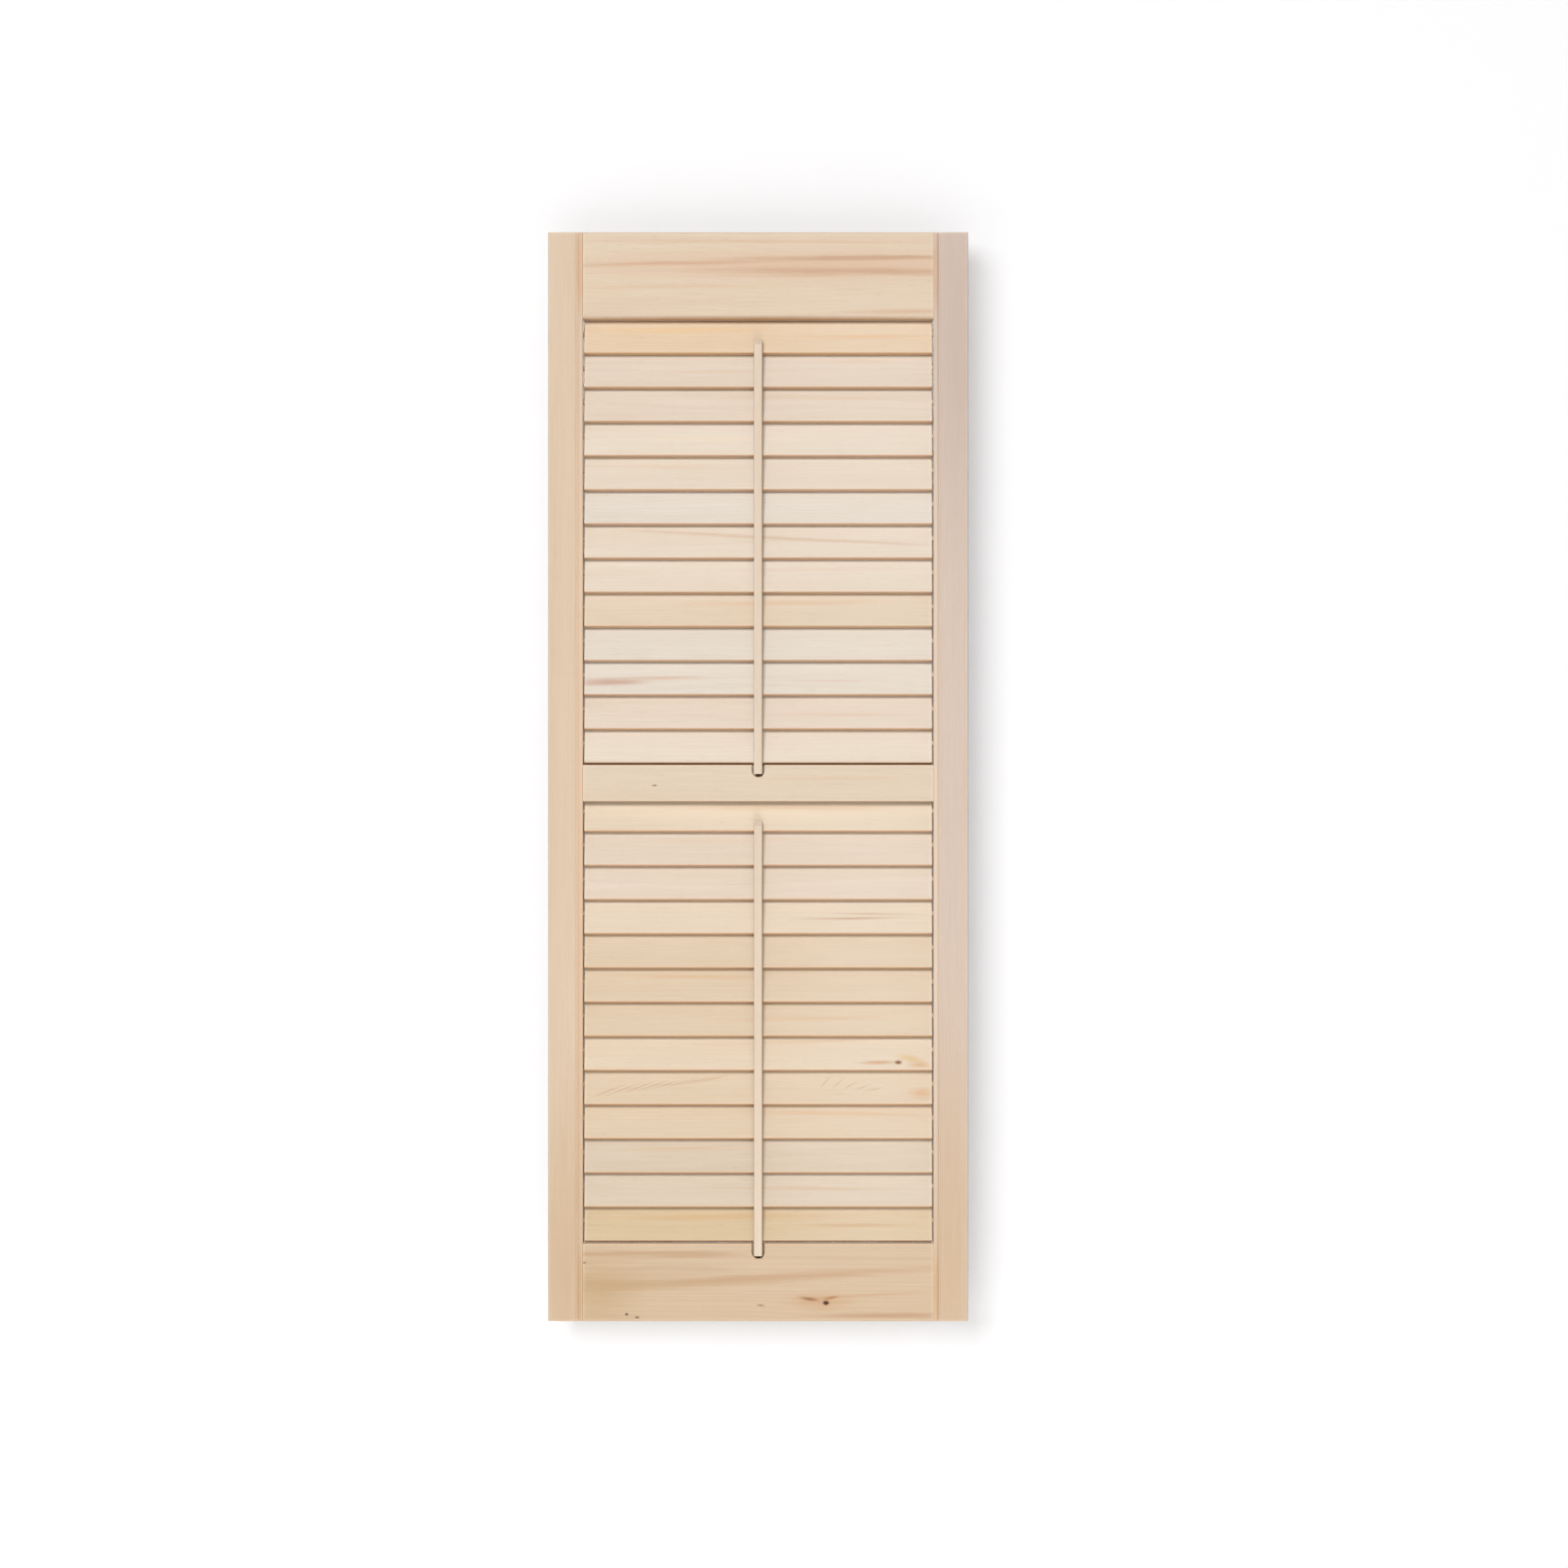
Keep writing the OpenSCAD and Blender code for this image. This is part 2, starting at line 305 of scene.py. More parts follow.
class Bench:
    """Adds and wires the nodes of one tree."""

    def __init__(self, tree: Tree) -> None:
        """Takes the tree that the nodes go in."""
        self.tree = tree

    def feed(self, socket: Socket, value: object) -> None:
        """Fills an input.

        Args:
            socket: The input.
            value: A socket to link, a number, vector or colour to set, or None to leave it.
        """
        if isinstance(value, Socket):
            self.tree.links.new(value, socket)
        elif value is not None:
            socket.default_value = value

    def add(self, kind: str, inputs: dict[str | int, object] | None = None, **settings: object) -> Node:
        """Adds a node.

        Args:
            kind: The node's type without its "ShaderNode" start.
            inputs: Values or links for its inputs, by name or number.
            **settings: Its own settings.

        Returns:
            The node.
        """
        node = self.tree.nodes.new("ShaderNode" + kind)
        for key, value in settings.items():
            setattr(node, key, value)
        for key, value in (inputs or {}).items():
            self.feed(node.inputs[key], value)
        return node

    def sum(self, operation: str, a: object, b: object = None, c: object = None) -> Socket:
        """Adds a Math node.

        Args:
            operation: What it works out.
            a: First number.
            b: Second number, if it takes one.
            c: Third number, if it takes one.

        Returns:
            Its result.
        """
        node = self.add("Math", {0: a}, operation=operation)
        for number, value in ((1, b), (2, c)):
            self.feed(node.inputs[number], value)
        return node.outputs[0]

    def times(self, a: object, b: object) -> Socket:
        """Returns one number times another."""
        return self.sum("MULTIPLY", a, b)

    def vector(self, operation: str, a: object, b: object) -> Socket:
        """Adds a Vector Math node and returns its vector."""
        return self.add("VectorMath", {0: a, 1: b}, operation=operation).outputs[0]

    def scaled(self, a: Socket, share: Socket) -> Socket:
        """Returns a vector times a number."""
        return self.add("VectorMath", {0: a, "Scale": share}, operation="SCALE").outputs[0]

    def length(self, a: Socket) -> Socket:
        """Returns the length of a vector."""
        return self.add("VectorMath", {0: a}, operation="LENGTH").outputs["Value"]

    def row_noise(self, kind: str, inputs: dict[str | int, object]) -> Socket:
        """Adds noise that changes with one number only and returns its value."""
        return self.add(kind, inputs, noise_dimensions="1D").outputs[0]

    def noise(self, place: Socket, spread: Triple, detail: float = 2.0, rough: float = 0.5) -> Node:
        """Adds noise with its own spread along each direction.

        Args:
            place: Where on the board, in metres.
            spread: Waves a metre along, across and through the board.
            detail: Octaves of finer noise.
            rough: How strong the finer noise is.

        Returns:
            The noise node.
        """
        inputs = {"Vector": self.vector("MULTIPLY", place, spread), "Scale": 1.0}
        return self.add("TexNoise", {**inputs, "Detail": detail, "Roughness": rough})

    def between(self, value: Socket, low: object, high: object) -> Socket:
        """Returns 0 at low, 1 at high and a soft change between them."""
        inputs = {0: value, 1: low, 2: high, 3: 0.0, 4: 1.0}
        return self.add("MapRange", inputs, interpolation_type="SMOOTHSTEP").outputs[0]

    def mix(self, share: object, a: object, b: object) -> Socket:
        """Mixes two colours and returns the result."""
        return self.add("Mix", {0: share, 6: a, 7: b}, data_type="RGBA").outputs[2]


class Effect:
    """A shader node group that is built once and placed in many materials.

    Attributes:
        name: Name of the group.
        takes: Name, kind and first value of each input.
        gives: Name of each output; all are numbers.
    """

    name = "effect"
    takes: tuple[tuple[str, str, object], ...] = ()
    gives: tuple[str, ...] = ()

    @classmethod
    def group(cls) -> Tree:
        """Builds the group at the first call.

        Returns:
            The group's tree.
        """
        found = bpy.data.node_groups.get(cls.name)
        if found:
            return found
        tree = bpy.data.node_groups.new(cls.name, "ShaderNodeTree")
        for name, kind, start in cls.takes:
            socket = tree.interface.new_socket(name, in_out="INPUT", socket_type=kind)
            socket.default_value = start
        for name in cls.gives:
            tree.interface.new_socket(name, in_out="OUTPUT", socket_type=NUMBER)
        bench = Bench(tree)
        taken = tree.nodes.new("NodeGroupInput")
        given = tree.nodes.new("NodeGroupOutput")
        for name, socket in cls.wire(bench, taken).items():
            tree.links.new(socket, given.inputs[name])
        return tree

    @classmethod
    def wire(cls, bench: Bench, taken: Node) -> dict[str, Socket]:
        """Builds the inside of the group.

        Args:
            bench: The group's bench.
            taken: The node that holds the group's inputs.

        Returns:
            The socket for each output.
        """
        raise NotImplementedError

    @classmethod
    def put(cls, bench: Bench, **inputs: object) -> Node:
        """Places the group in a tree.

        Args:
            bench: The material's bench.
            **inputs: Values or links, named as the inputs with _ for each space.

        Returns:
            The group node.
        """
        node = bench.add("Group", node_tree=cls.group())
        for key, value in inputs.items():
            bench.feed(node.inputs[key.replace("_", " ")], value)
        return node


class BoardGrain(Effect):
    """Growth rings, long streaks, fibres and small flecks of a sawn board."""

    name = "board grain"
    takes = (
        ("Place", VECTOR, ORIGIN),
        ("Seed", NUMBER, 0.0),
        ("Heart", VECTOR, (0.0, 0.09, 0.05)),
        ("Ring Width", NUMBER, 0.0026),
        ("Wander", NUMBER, 0.003),
    )
    gives = ("Latewood", "Streak", "Fibre", "Fleck")

    @classmethod
    def wire(cls, bench: Bench, taken: Node) -> dict[str, Socket]:
        """Builds the rings about the tree's heart and the finer marks over them.

        Args:
            bench: The group's bench.
            taken: The node that holds the group's inputs.

        Returns:
            The socket for each output.
        """
        place, seed, heart, width, wander = (taken.outputs[i] for i in range(5))
        shift = {i: bench.times(seed, share) for i, share in enumerate((0.731, 0.217, 0.393))}
        board = bench.vector("ADD", place, bench.add("CombineXYZ", shift).outputs[0])

        def sway(spread: Triple, share: float) -> Socket:
            """Makes a sideways drift of the rings that changes slowly along the board.

            Args:
                spread: Waves a metre along, across and through the board.
                share: How much of the wander it takes.

            Returns:
                The drift.
            """
            colour = bench.noise(board, spread, 2.0, 0.45).outputs["Color"]
            centred = bench.vector("SUBTRACT", colour, (0.5, 0.5, 0.5))
            return bench.scaled(centred, bench.times(wander, share))

        moved = bench.vector("ADD", place, sway((2.6, 9.0, 9.0), 5.0))
        moved = bench.vector("ADD", moved, sway((13.0, 60.0, 60.0), 0.8))
        from_heart = bench.vector("MULTIPLY", bench.vector("SUBTRACT", moved, heart), (0.0, 1.0, 1.0))
        years = bench.sum("DIVIDE", bench.length(from_heart), width)
        decade = bench.sum("ADD", bench.times(years, 0.33), seed)
        uneven = bench.row_noise("TexNoise", {"W": decade, "Scale": 1.0, "Detail": 1.0})
        years = bench.sum("ADD", years, bench.times(uneven, 2.4))
        season = bench.sum("FRACT", years)
        rise = bench.between(season, 0.30, 0.90)
        fall = bench.between(season, 0.93, 1.0)
        ring = bench.times(rise, bench.sum("SUBTRACT", 1.0, fall))
        year = bench.sum("ADD", bench.sum("FLOOR", years), seed)
        strength = bench.row_noise("TexWhiteNoise", {"W": year})
        ring = bench.times(ring, bench.sum("MULTIPLY_ADD", strength, 0.65, 0.35))
        streak = bench.noise(board, (1.7, 48.0, 48.0), 3.0, 0.55).outputs[0]
        fibre = bench.noise(board, (26.0, 1500.0, 1100.0), 2.0, 0.6).outputs[0]
        tick = bench.noise(board, (110.0, 2600.0, 1700.0), 1.0, 0.5).outputs[0]
        return {
            "Latewood": ring,
            "Streak": bench.between(streak, 0.32, 0.68),
            "Fibre": bench.between(fibre, 0.28, 0.72),
            "Fleck": bench.between(tick, 0.66, 0.76),
        }


class SoftSpot(Effect):
    """A soft patch at one place on a board: a blush, streak, knot or speck, and also patches of painted
    shade and painted light.
    """

    name = "soft spot"
    takes = (
        ("Place", VECTOR, ORIGIN),
        ("Centre", VECTOR, ORIGIN),
        ("Reach", VECTOR, (0.01, 0.01, 0.01)),
        ("Lean", NUMBER, 0.0),
        ("Ragged", NUMBER, 0.3),
        ("Crisp", NUMBER, 0.0),
    )
    gives = ("Mask",)

    @classmethod
    def wire(cls, bench: Bench, taken: Node) -> dict[str, Socket]:
        """Builds an oval mask that is turned by the lean and broken up along the grain.

        Args:
            bench: The group's bench.
            taken: The node that holds the group's inputs.

        Returns:
            The socket for each output.
        """
        place, centre, reach, lean, ragged, crisp = (taken.outputs[i] for i in range(6))
        offset = bench.vector("SUBTRACT", place, centre)
        turned = bench.add("VectorRotate", {"Vector": offset, "Angle": lean}, rotation_type="Z_AXIS")
        oval = bench.vector("DIVIDE", turned.outputs[0], reach)
        rough = bench.noise(place, (17.0, 210.0, 210.0), 3.0, 0.6).outputs["Color"]
        rough = bench.vector("SUBTRACT", rough, (0.5, 0.5, 0.5))
        push = bench.scaled(rough, bench.times(ragged, 2.0))
        away = bench.length(bench.vector("ADD", oval, push))
        return {"Mask": bench.between(away, 1.0, bench.times(crisp, 0.8))}


class HandledEdge(Effect):
    """A mask along a board's long and short edges, where hands and sandpaper reach, and a mask on its two
    narrow sides, where shade is painted.
    """

    name = "handled edge"
    takes = (
        ("Place", VECTOR, ORIGIN),
        ("Half Size", VECTOR, (0.1, 0.01, 0.01)),
        ("Width", NUMBER, 0.002),
    )
    gives = ("Mask", "Narrow Side Shade")

    @classmethod
    def wire(cls, bench: Bench, taken: Node) -> dict[str, Socket]:
        """Builds one mask near all the edges and one on the board's two narrow sides, which takes painted
        shade.

        Args:
            bench: The group's bench.
            taken: The node that holds the group's inputs.

        Returns:
            The socket for each output.
        """
        place, half, width = (taken.outputs[i] for i in range(3))
        distance = bench.add("VectorMath", {0: place}, operation="ABSOLUTE").outputs[0]
        sides = bench.add("SeparateXYZ", {0: bench.vector("SUBTRACT", half, distance)}).outputs
        low = bench.sum("MINIMUM", sides[0], sides[1])
        high = bench.sum("MAXIMUM", sides[0], sides[1])
        second = bench.sum("MAXIMUM", low, bench.sum("MINIMUM", high, sides[2]))
        uneven = bench.noise(place, (60.0, 60.0, 60.0), 2.0, 0.6).outputs[0]
        reach = bench.times(width, bench.sum("ADD", uneven, 0.5))
        near = bench.sum("SUBTRACT", 1.0, bench.sum("DIVIDE", second, reach))
        narrow = bench.sum("SUBTRACT", 1.0, bench.between(sides[1], 0.0003, 0.0011))
        return {"Mask": bench.between(near, 0.0, 1.0), "Narrow Side Shade": narrow}


class DrawnWire(Effect):
    """Fine die lines and patches of tarnish on drawn wire."""

    name = "drawn wire"
    takes = (("Place", VECTOR, ORIGIN), ("Seed", NUMBER, 0.0))
    gives = ("Tarnish", "Lines")

    @classmethod
    def wire(cls, bench: Bench, taken: Node) -> dict[str, Socket]:
        """Builds the patches and the lines from noise of two sizes.

        Args:
            bench: The group's bench.
            taken: The node that holds the group's inputs.

        Returns:
            The socket for each output.
        """
        place, seed = taken.outputs[0], taken.outputs[1]
        shift = bench.add("CombineXYZ", dict.fromkeys(range(3), seed)).outputs[0]
        moved = bench.vector("ADD", place, shift)
        patches = bench.noise(moved, (620.0, 620.0, 620.0), 3.0, 0.6).outputs[0]
        lines = bench.noise(moved, (4200.0, 900.0, 4200.0), 2.0, 0.6).outputs[0]
        return {"Tarnish": bench.between(patches, 0.45, 0.7), "Lines": lines}


# --- Finishes


class Grain(Enum):
    """Which way the grain of a piece runs."""

    ACROSS = "along x"
    UPRIGHT = "along z"


class Sawn(Enum):
    """How a board was sawn: where the tree's heart lies from the board's middle, in metres."""

    QUARTER = (0.0, 0.13, 0.03)
    RIFT = (0.0, 0.10, 0.075)
    FLAT = (0.0, 0.012, 0.085)
    SIDE = (0.0, -0.11, 0.05)


@dataclass(frozen=True)
class Tone:
    """The colours of one kind of board: clear wood, its warmer streaks and its latewood."""

    clear: str
    streak: str
    late: str


class Wood(Enum):
    """Boards by their tone."""

    STILE_LEFT = Tone("#C1AE99", "#BCA68F", "#AB9276")
    STILE_RIGHT = Tone("#BEAFA5", "#B9A799", "#A8927F")
    TOP_RAIL = Tone("#C6B6A2", "#BDA892", "#AC937A")
    MIDDLE_RAIL = Tone("#C4B5A3", "#BFAD97", "#AD977E")
    BOTTOM_RAIL = Tone("#B9A48C", "#B39E83", "#A38A6C")
    ROD = Tone("#C7B8A8", "#C1B09D", "#B09A82")
    STRAW = Tone("#CDB89F", "#C7B093", "#B59A7B")
    CREAM = Tone("#C8BBAD", "#C2B3A1", "#B19C85")
    PEARL = Tone("#CBC0B2", "#C5B7A6", "#B4A189")
    FROST = Tone("#C9C2B9", "#C3B9AC", "#B2A28F")
    HONEY = Tone("#C8B9A6", "#C2B19A", "#B19B80")
    WARM = Tone("#C2B19A", "#BDA990", "#AC9477")
    OAT = Tone("#BDB09F", "#B8A893", "#A7937B")
    AMBER = Tone("#BBA88A", "#B6A181", "#A58D6A")
    DOWEL = Tone("#BEA27A", "#B99B71", "#A8885E")


@dataclass(frozen=True)
class Mark:
    """A mark in a board, placed from the board's middle: mostly natural marks, and a few patches of
    painted shade and painted light.

    Attributes:
        centre: Place along and across the board, in millimetres.
        reach: Half its length along and half its width across, in millimetres.
        chip: Its colour.
        strength: How much of its colour shows, from 0 to 1.
        lean: How far its far end rises over its near end, in degrees.
        ragged: How far its edge wanders.
        crisp: 0 for a soft edge, near 1 for a hard one.
    """

    centre: Point
    reach: Point
    chip: str
    strength: float
    lean: float = 0.0
    ragged: float = 0.35
    crisp: float = 0.0


def started(name: str) -> tuple[Material, Bench, Node]:
    """Starts a material.

    Args:
        name: Its name.

    Returns:
        The material, its bench and its shader.
    """
    made = bpy.data.materials.new(name)
    made.use_nodes = True
    return made, Bench(made.node_tree), made.node_tree.nodes["Principled BSDF"]


@dataclass(frozen=True)
class BareWood:
    """Sanded softwood without a finish.

    Attributes:
        name: Name of the material.
        tone: The board's tone.
        half_size: Half the board's size along, across and through, in metres.
        grain: Which way the grain runs.
        sawn: How the board was sawn.
        seed: Sets one board apart from another.
        ring_width: Distance between growth rings, in metres.
        ring_strength: How much the latewood shows.
        streak_strength: How much the broad streaks show.
        fibre_strength: How much the fine fibres show.
        fleck_strength: How much the small flecks show.
        wander: How far the rings wander along the board, in metres.
        edge: How much the sanded edges are toned.
        edge_chip: The tone of the sanded edges.
        side: How much painted shade the narrow sides take, a darker warm tone for the shadowed gaps
            between parts.
        side_shade_chip: The colour of the painted shade on the narrow sides.
        fleck_chip: The colour of the small flecks.
        rough: Roughness of the clear wood between the fibres.
        relief: Height of the raised grain, in metres.
        marks: Natural marks, and patches of painted shade and painted light.
    """

    name: str
    tone: Wood
    half_size: Triple
    grain: Grain = Grain.ACROSS
    sawn: Sawn = Sawn.QUARTER
    seed: float = 0.0
    ring_width: float = 0.0026
    ring_strength: float = 0.35
    streak_strength: float = 0.6
    fibre_strength: float = 0.16
    fleck_strength: float = 0.22
    wander: float = 0.003
    edge: float = 0.25
    edge_chip: str = "#DDCBB3"
    side: float = 0.3
    side_shade_chip: str = "#AD7843"
    fleck_chip: str = "#8A6A47"
    rough: float = 0.58
    relief: float = 0.12 * MM
    marks: tuple[Mark, ...] = ()

    def spot(self, bench: Bench, place: Socket, mark: Mark) -> Socket:
        """Places one mark: a natural one, or a patch of painted shade or painted light.

        Args:
            bench: The material's bench.
            place: Where on the board.
            mark: The mark.

        Returns:
            The mark's mask.
        """
        return SoftSpot.put(
            bench,
            Place=place,
            Centre=(mark.centre[0] * MM, mark.centre[1] * MM, -self.half_size[2]),
            Reach=(mark.reach[0] * MM, mark.reach[1] * MM, 6 * MM),
            Lean=math.radians(-mark.lean),
            Ragged=mark.ragged,
            Crisp=mark.crisp,
        ).outputs[0]

    def material(self) -> Material:
        """Builds the material.

        Returns:
            The material.
        """
        made, bench, shader = started(self.name)
        axes = bench.add("SeparateXYZ", {0: bench.add("TexCoord").outputs["Object"]}).outputs
        order = (0, 2, 1) if self.grain is Grain.ACROSS else (2, 0, 1)
        place = bench.add("CombineXYZ", {i: axes[j] for i, j in enumerate(order)}).outputs[0]
        grain = BoardGrain.put(
            bench, Place=place, Seed=self.seed, Heart=self.sawn.value, Ring_Width=self.ring_width,
            Wander=self.wander,
        ).outputs
        edge = HandledEdge.put(bench, Place=place, Half_Size=self.half_size).outputs
        tone = self.tone.value
        colour = paint(tone.clear)
        for mask, share, chip in (
            (grain["Streak"], self.streak_strength, tone.streak),
            (grain["Latewood"], self.ring_strength, tone.late),
            (grain["Fibre"], self.fibre_strength, tone.late),
            (grain["Fleck"], self.fleck_strength, self.fleck_chip),
            *[(self.spot(bench, place, mark), mark.strength, mark.chip) for mark in self.marks],
            (edge["Mask"], self.edge, self.edge_chip),
            # The narrow sides take painted shade: a darker warm brown, so the shadowed gaps between parts
            # read dark and warm.
            (edge["Narrow Side Shade"], self.side, self.side_shade_chip),
        ):
            colour = bench.mix(bench.times(mask, share), colour, paint(chip))
        rough = bench.sum("MULTIPLY_ADD", grain["Fibre"], 0.10, self.rough)
        rough = bench.sum("MULTIPLY_ADD", grain["Latewood"], -0.08, rough)
        height = bench.sum("MULTIPLY_ADD", grain["Fleck"], -0.6, grain["Fibre"])
        height = bench.sum("MULTIPLY_ADD", grain["Latewood"], 0.5, height)
        bump = bench.add("Bump", {"Strength": 0.22, "Distance": self.relief, "Height": height})
        bench.feed(shader.inputs["Base Color"], colour)
        bench.feed(shader.inputs["Roughness"], rough)
        bench.feed(shader.inputs["Normal"], bump.outputs[0])
        shader.inputs["Specular IOR Level"].default_value = 0.35
        return made


@dataclass(frozen=True)
class StapleWire:
    """Plain drawn steel wire, a little tarnished.

    Attributes:
        name: Name of the material.
        bright: Colour of the clean wire.
        tarnished: Colour of the tarnish.
        seed: Sets one lot of wire apart from another.
    """

    name: str = "staple wire"
    bright: str = "#AE9F88"
    tarnished: str = "#745C40"
    seed: float = 0.0

    def material(self) -> Material:
        """Builds the material.

        Returns:
            The material.
        """
        made, bench, shader = started(self.name)
        place = bench.add("TexCoord").outputs["Object"]
        wire = DrawnWire.put(bench, Place=place, Seed=self.seed).outputs
        share = bench.times(wire["Tarnish"], 0.7)
        colour = bench.mix(share, paint(self.bright), paint(self.tarnished))
        rough = bench.sum("MULTIPLY_ADD", wire["Tarnish"], 0.25, 0.28)
        bump = bench.add("Bump", {"Strength": 0.2, "Distance": 0.00005, "Height": wire["Lines"]})
        bench.feed(shader.inputs["Base Color"], colour)
        bench.feed(shader.inputs["Roughness"], rough)
        bench.feed(shader.inputs["Normal"], bump.outputs[0])
        shader.inputs["Metallic"].default_value = 1.0
        return made


def dress(piece: Piece, material: Material) -> None:
    """Gives a piece one material in place of whatever it had.

    Args:
        piece: The piece.
        material: The material.
    """
    if not piece.material_slots:
        piece.data.materials.append(material)
    for place in piece.material_slots:
        place.material = material


def hand_over(piece: Piece, finish: BareWood | StapleWire, node: str, body: str) -> Piece:
    """Dresses a finished piece, hides the CAD node that it replaces and hangs it on its body.

    Args:
        piece: The piece.
        finish: Its finish.
        node: The CAD node that it replaces.
        body: The body that it rides on.

    Returns:
        The piece.
    """
    dress(piece, finish.material())
    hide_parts(node)
    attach(piece, body)
    return piece


# --- The fixed frame


def middle_of(node: str) -> tuple[Vector, Vector]:
    """Returns the middle of a CAD node and half its size, as vectors."""
    low, high = (Vector(v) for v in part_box(node))
    return (low + high) / 2, (high - low) / 2


@dataclass
class Sizes:
    """Sizes that the frame and the louvers share, in metres.

    Attributes:
        louver_thick: Thickness of a louver.
        louver_wide: Width of a louver, from edge to edge.
        gap: Gap between closed louvers.
        pin_radius: Radius of a louver's pivot pins.
        pin_long: Length of a pin past its louver.
        pin_room: Clearance round a pin.
        pin_sink: Depth and width of the sinking at the mouth of a pin's hole.
        past_pin: Room past the end of a pin or dowel.
        dowel_radius: Radius of a dowel.
        dowel_room: Clearance round a dowel.
        dowel_deep: Depth of a dowel's hole in a rail.
        staple_reach: From a louver's edge to the hinge line of its staple.
        rod_side_room: Gap on each side of a rod in its notch.
        rod_end_room: Gap below a rod in its notch.
        notch_back_room: Gap behind the staples in a notch.
    """

    louver_thick: float = 5.6 * MM
    louver_wide: float = 31.75 * MM
    gap: float = 0.35 * MM
    pin_radius: float = 2.0 * MM
    pin_long: float = 9 * MM
    pin_room: float = 0.08 * MM
    pin_sink: float = 0.3 * MM
    past_pin: float = 0.8 * MM
    dowel_radius: float = 3.175 * MM
    dowel_room: float = 0.05 * MM
    dowel_deep: float = 13.3 * MM
    staple_reach: float = 2.5 * MM
    rod_side_room: float = 1.5 * MM
    rod_end_room: float = 2.2 * MM
    notch_back_room: float = 0.5 * MM

    @property
    def pitch(self) -> float:
        """Distance from one pivot to the next."""
        return middle_of("upper_louver_01")[0].z - middle_of("upper_louver_02")[0].z

    @property
    def lean(self) -> float:
        """Angle by which a closed louver leans back, in radians."""
        return math.asin((self.louver_thick + self.gap) / self.pitch)

    @property
    def hinge(self) -> Point:
        """The hinge line of the staples, forward and up from a pivot."""
        reach = self.louver_wide / 2 + self.staple_reach
        return -reach * math.sin(self.lean), -reach * math.cos(self.lean)


@dataclass
class Stile:
    """One upright of the frame, with a bead along its inner front edge.

    Attributes:
        side: -1 for the left stile and 1 for the right one.
        tone: Its tone.
        marks: Natural marks, a painted highlight along the bead and painted shade towards the foot.
        sizes: The shared sizes.
        arris: Rounding of the outer edges.
        bead: Radius of the bead.
        bead_inner: Radius of the bead's corner towards the louvers.
        quirk_wide: Width of the quirk beside the bead.
        quirk_deep: Depth of the quirk.
        quirk_lip: Rounding of the quirk's outer edge.
    """

    side: int
    tone: Wood
    marks: tuple[Mark, ...]
    sizes: Sizes
    arris: float = 0.9 * MM
    bead: float = 2.3 * MM
    bead_inner: float = 1.1 * MM
    quirk_wide: float = 0.7 * MM
    quirk_deep: float = 0.7 * MM
    quirk_lip: float = 0.18 * MM

    @property
    def node(self) -> str:
        """The stile's name in the CAD model."""
        return "left_stile" if self.side < 0 else "right_stile"

    def section(self) -> list[Point]:
        """Draws the section, from the outer edge inwards and from the front back.

        Returns:
            The corners of the section.
        """
        half = middle_of(self.node)[1]
        wide, thick = 2 * half.x, 2 * half.y
        a, b, c, lip = self.arris, self.bead, self.bead_inner, self.quirk_lip
        quirk_x = wide - 2 * b - self.quirk_wide
        start = math.degrees(math.asin((b - self.quirk_deep) / b))
        return [
            *arc((a, a), a, 180, 270, 5),
            (quirk_x - 2.5 * MM, 0.0),
            *arc((quirk_x - lip, lip), lip, 270, 350, 3),
            (quirk_x + 0.02 * MM, self.quirk_deep),
            *arc((wide - b, b), b, 180 + start, 270, 9),
            *arc((wide - c, c), c, 270, 360, 6),
            (wide, b + 1.2 * MM),
            *arc((wide - a / 2, thick - a / 2), a / 2, 0, 90, 4),
            *arc((a, thick - a), a, 90, 180, 5),
        ]

    def holes(self) -> list[Piece]:
        """Makes the drills for the louvers' pins and the rails' dowels.

        Returns:
            The drills, in the stile's own place.
        """
        s = self.sizes
        centre, half = middle_of(self.node)
        face = -self.side * half.x
        to_face = abs(centre.x) - half.x
        pin = s.pin_radius + s.pin_room
        deep = abs(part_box("upper_louver_01")[0][0]) - to_face + s.past_pin
        sunk = [(-PROUD, pin + PROUD + s.pin_sink), (s.pin_sink, pin), (deep, pin)]
        drills = [
            drill(face, self.side, middle_of(node)[0].z - centre.z, sunk) for node in louver_nodes()
        ]
        dowel = s.dowel_radius + s.dowel_room
        deep = abs(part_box("rail_dowels")[0][0]) - to_face + s.past_pin
        for z in dowel_heights():
            drills.append(drill(face, self.side, z - centre.z, [(-PROUD, dowel), (deep, dowel)]))
        return drills

    def build(self) -> Piece:
        """Builds and dresses the stile.

        Returns:
            The stile.
        """
        centre, half = middle_of(self.node)
        piece = stick(
            self.node + "_shown",
            self.section(),
            eased_stations(-half.z, half.z, 0.5 * MM),
            lambda along, u, v: (self.side * (half.x - u), v - half.y, along),
        )
        cut_away(piece, self.holes())
        piece.location = centre
        smooth_over(piece)
        finish = BareWood(
            name=self.node.replace("_", " ") + " wood",
            tone=self.tone,
            half_size=(half.z, half.x, half.y),
            grain=Grain.UPRIGHT,
            sawn=Sawn.RIFT if self.side < 0 else Sawn.QUARTER,
            seed=3.1 if self.side < 0 else 7.7,
            ring_width=0.0031,
            ring_strength=0.12,
            side=0.0,
            marks=self.marks,
        )
        return hand_over(piece, finish, self.node, "frame")


def louver_nodes(banks: Sequence[str] = ("upper", "lower")) -> list[str]:
    """Returns the names of the louvers' CAD nodes, from the top down."""
    return [f"{bank}_louver_{i:02d}" for bank in banks for i in range(1, 14)]


def dowel_heights() -> list[float]:
    """Reads the heights of the dowels from the corners of their CAD node.

    Returns:
        The heights, from the lowest up.
    """
    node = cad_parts["rail_dowels"]
    radius = Sizes().dowel_radius
    tops = sorted({round(v.co.z / MM, 2) for v in node.data.vertices if abs(v.co.y) < 0.02 * MM})
    heights: list[float] = []
    for z in (t * MM for t in tops):
        if not heights or z - heights[-1] > 2.5 * radius:
            heights.append(z + radius)
    return heights


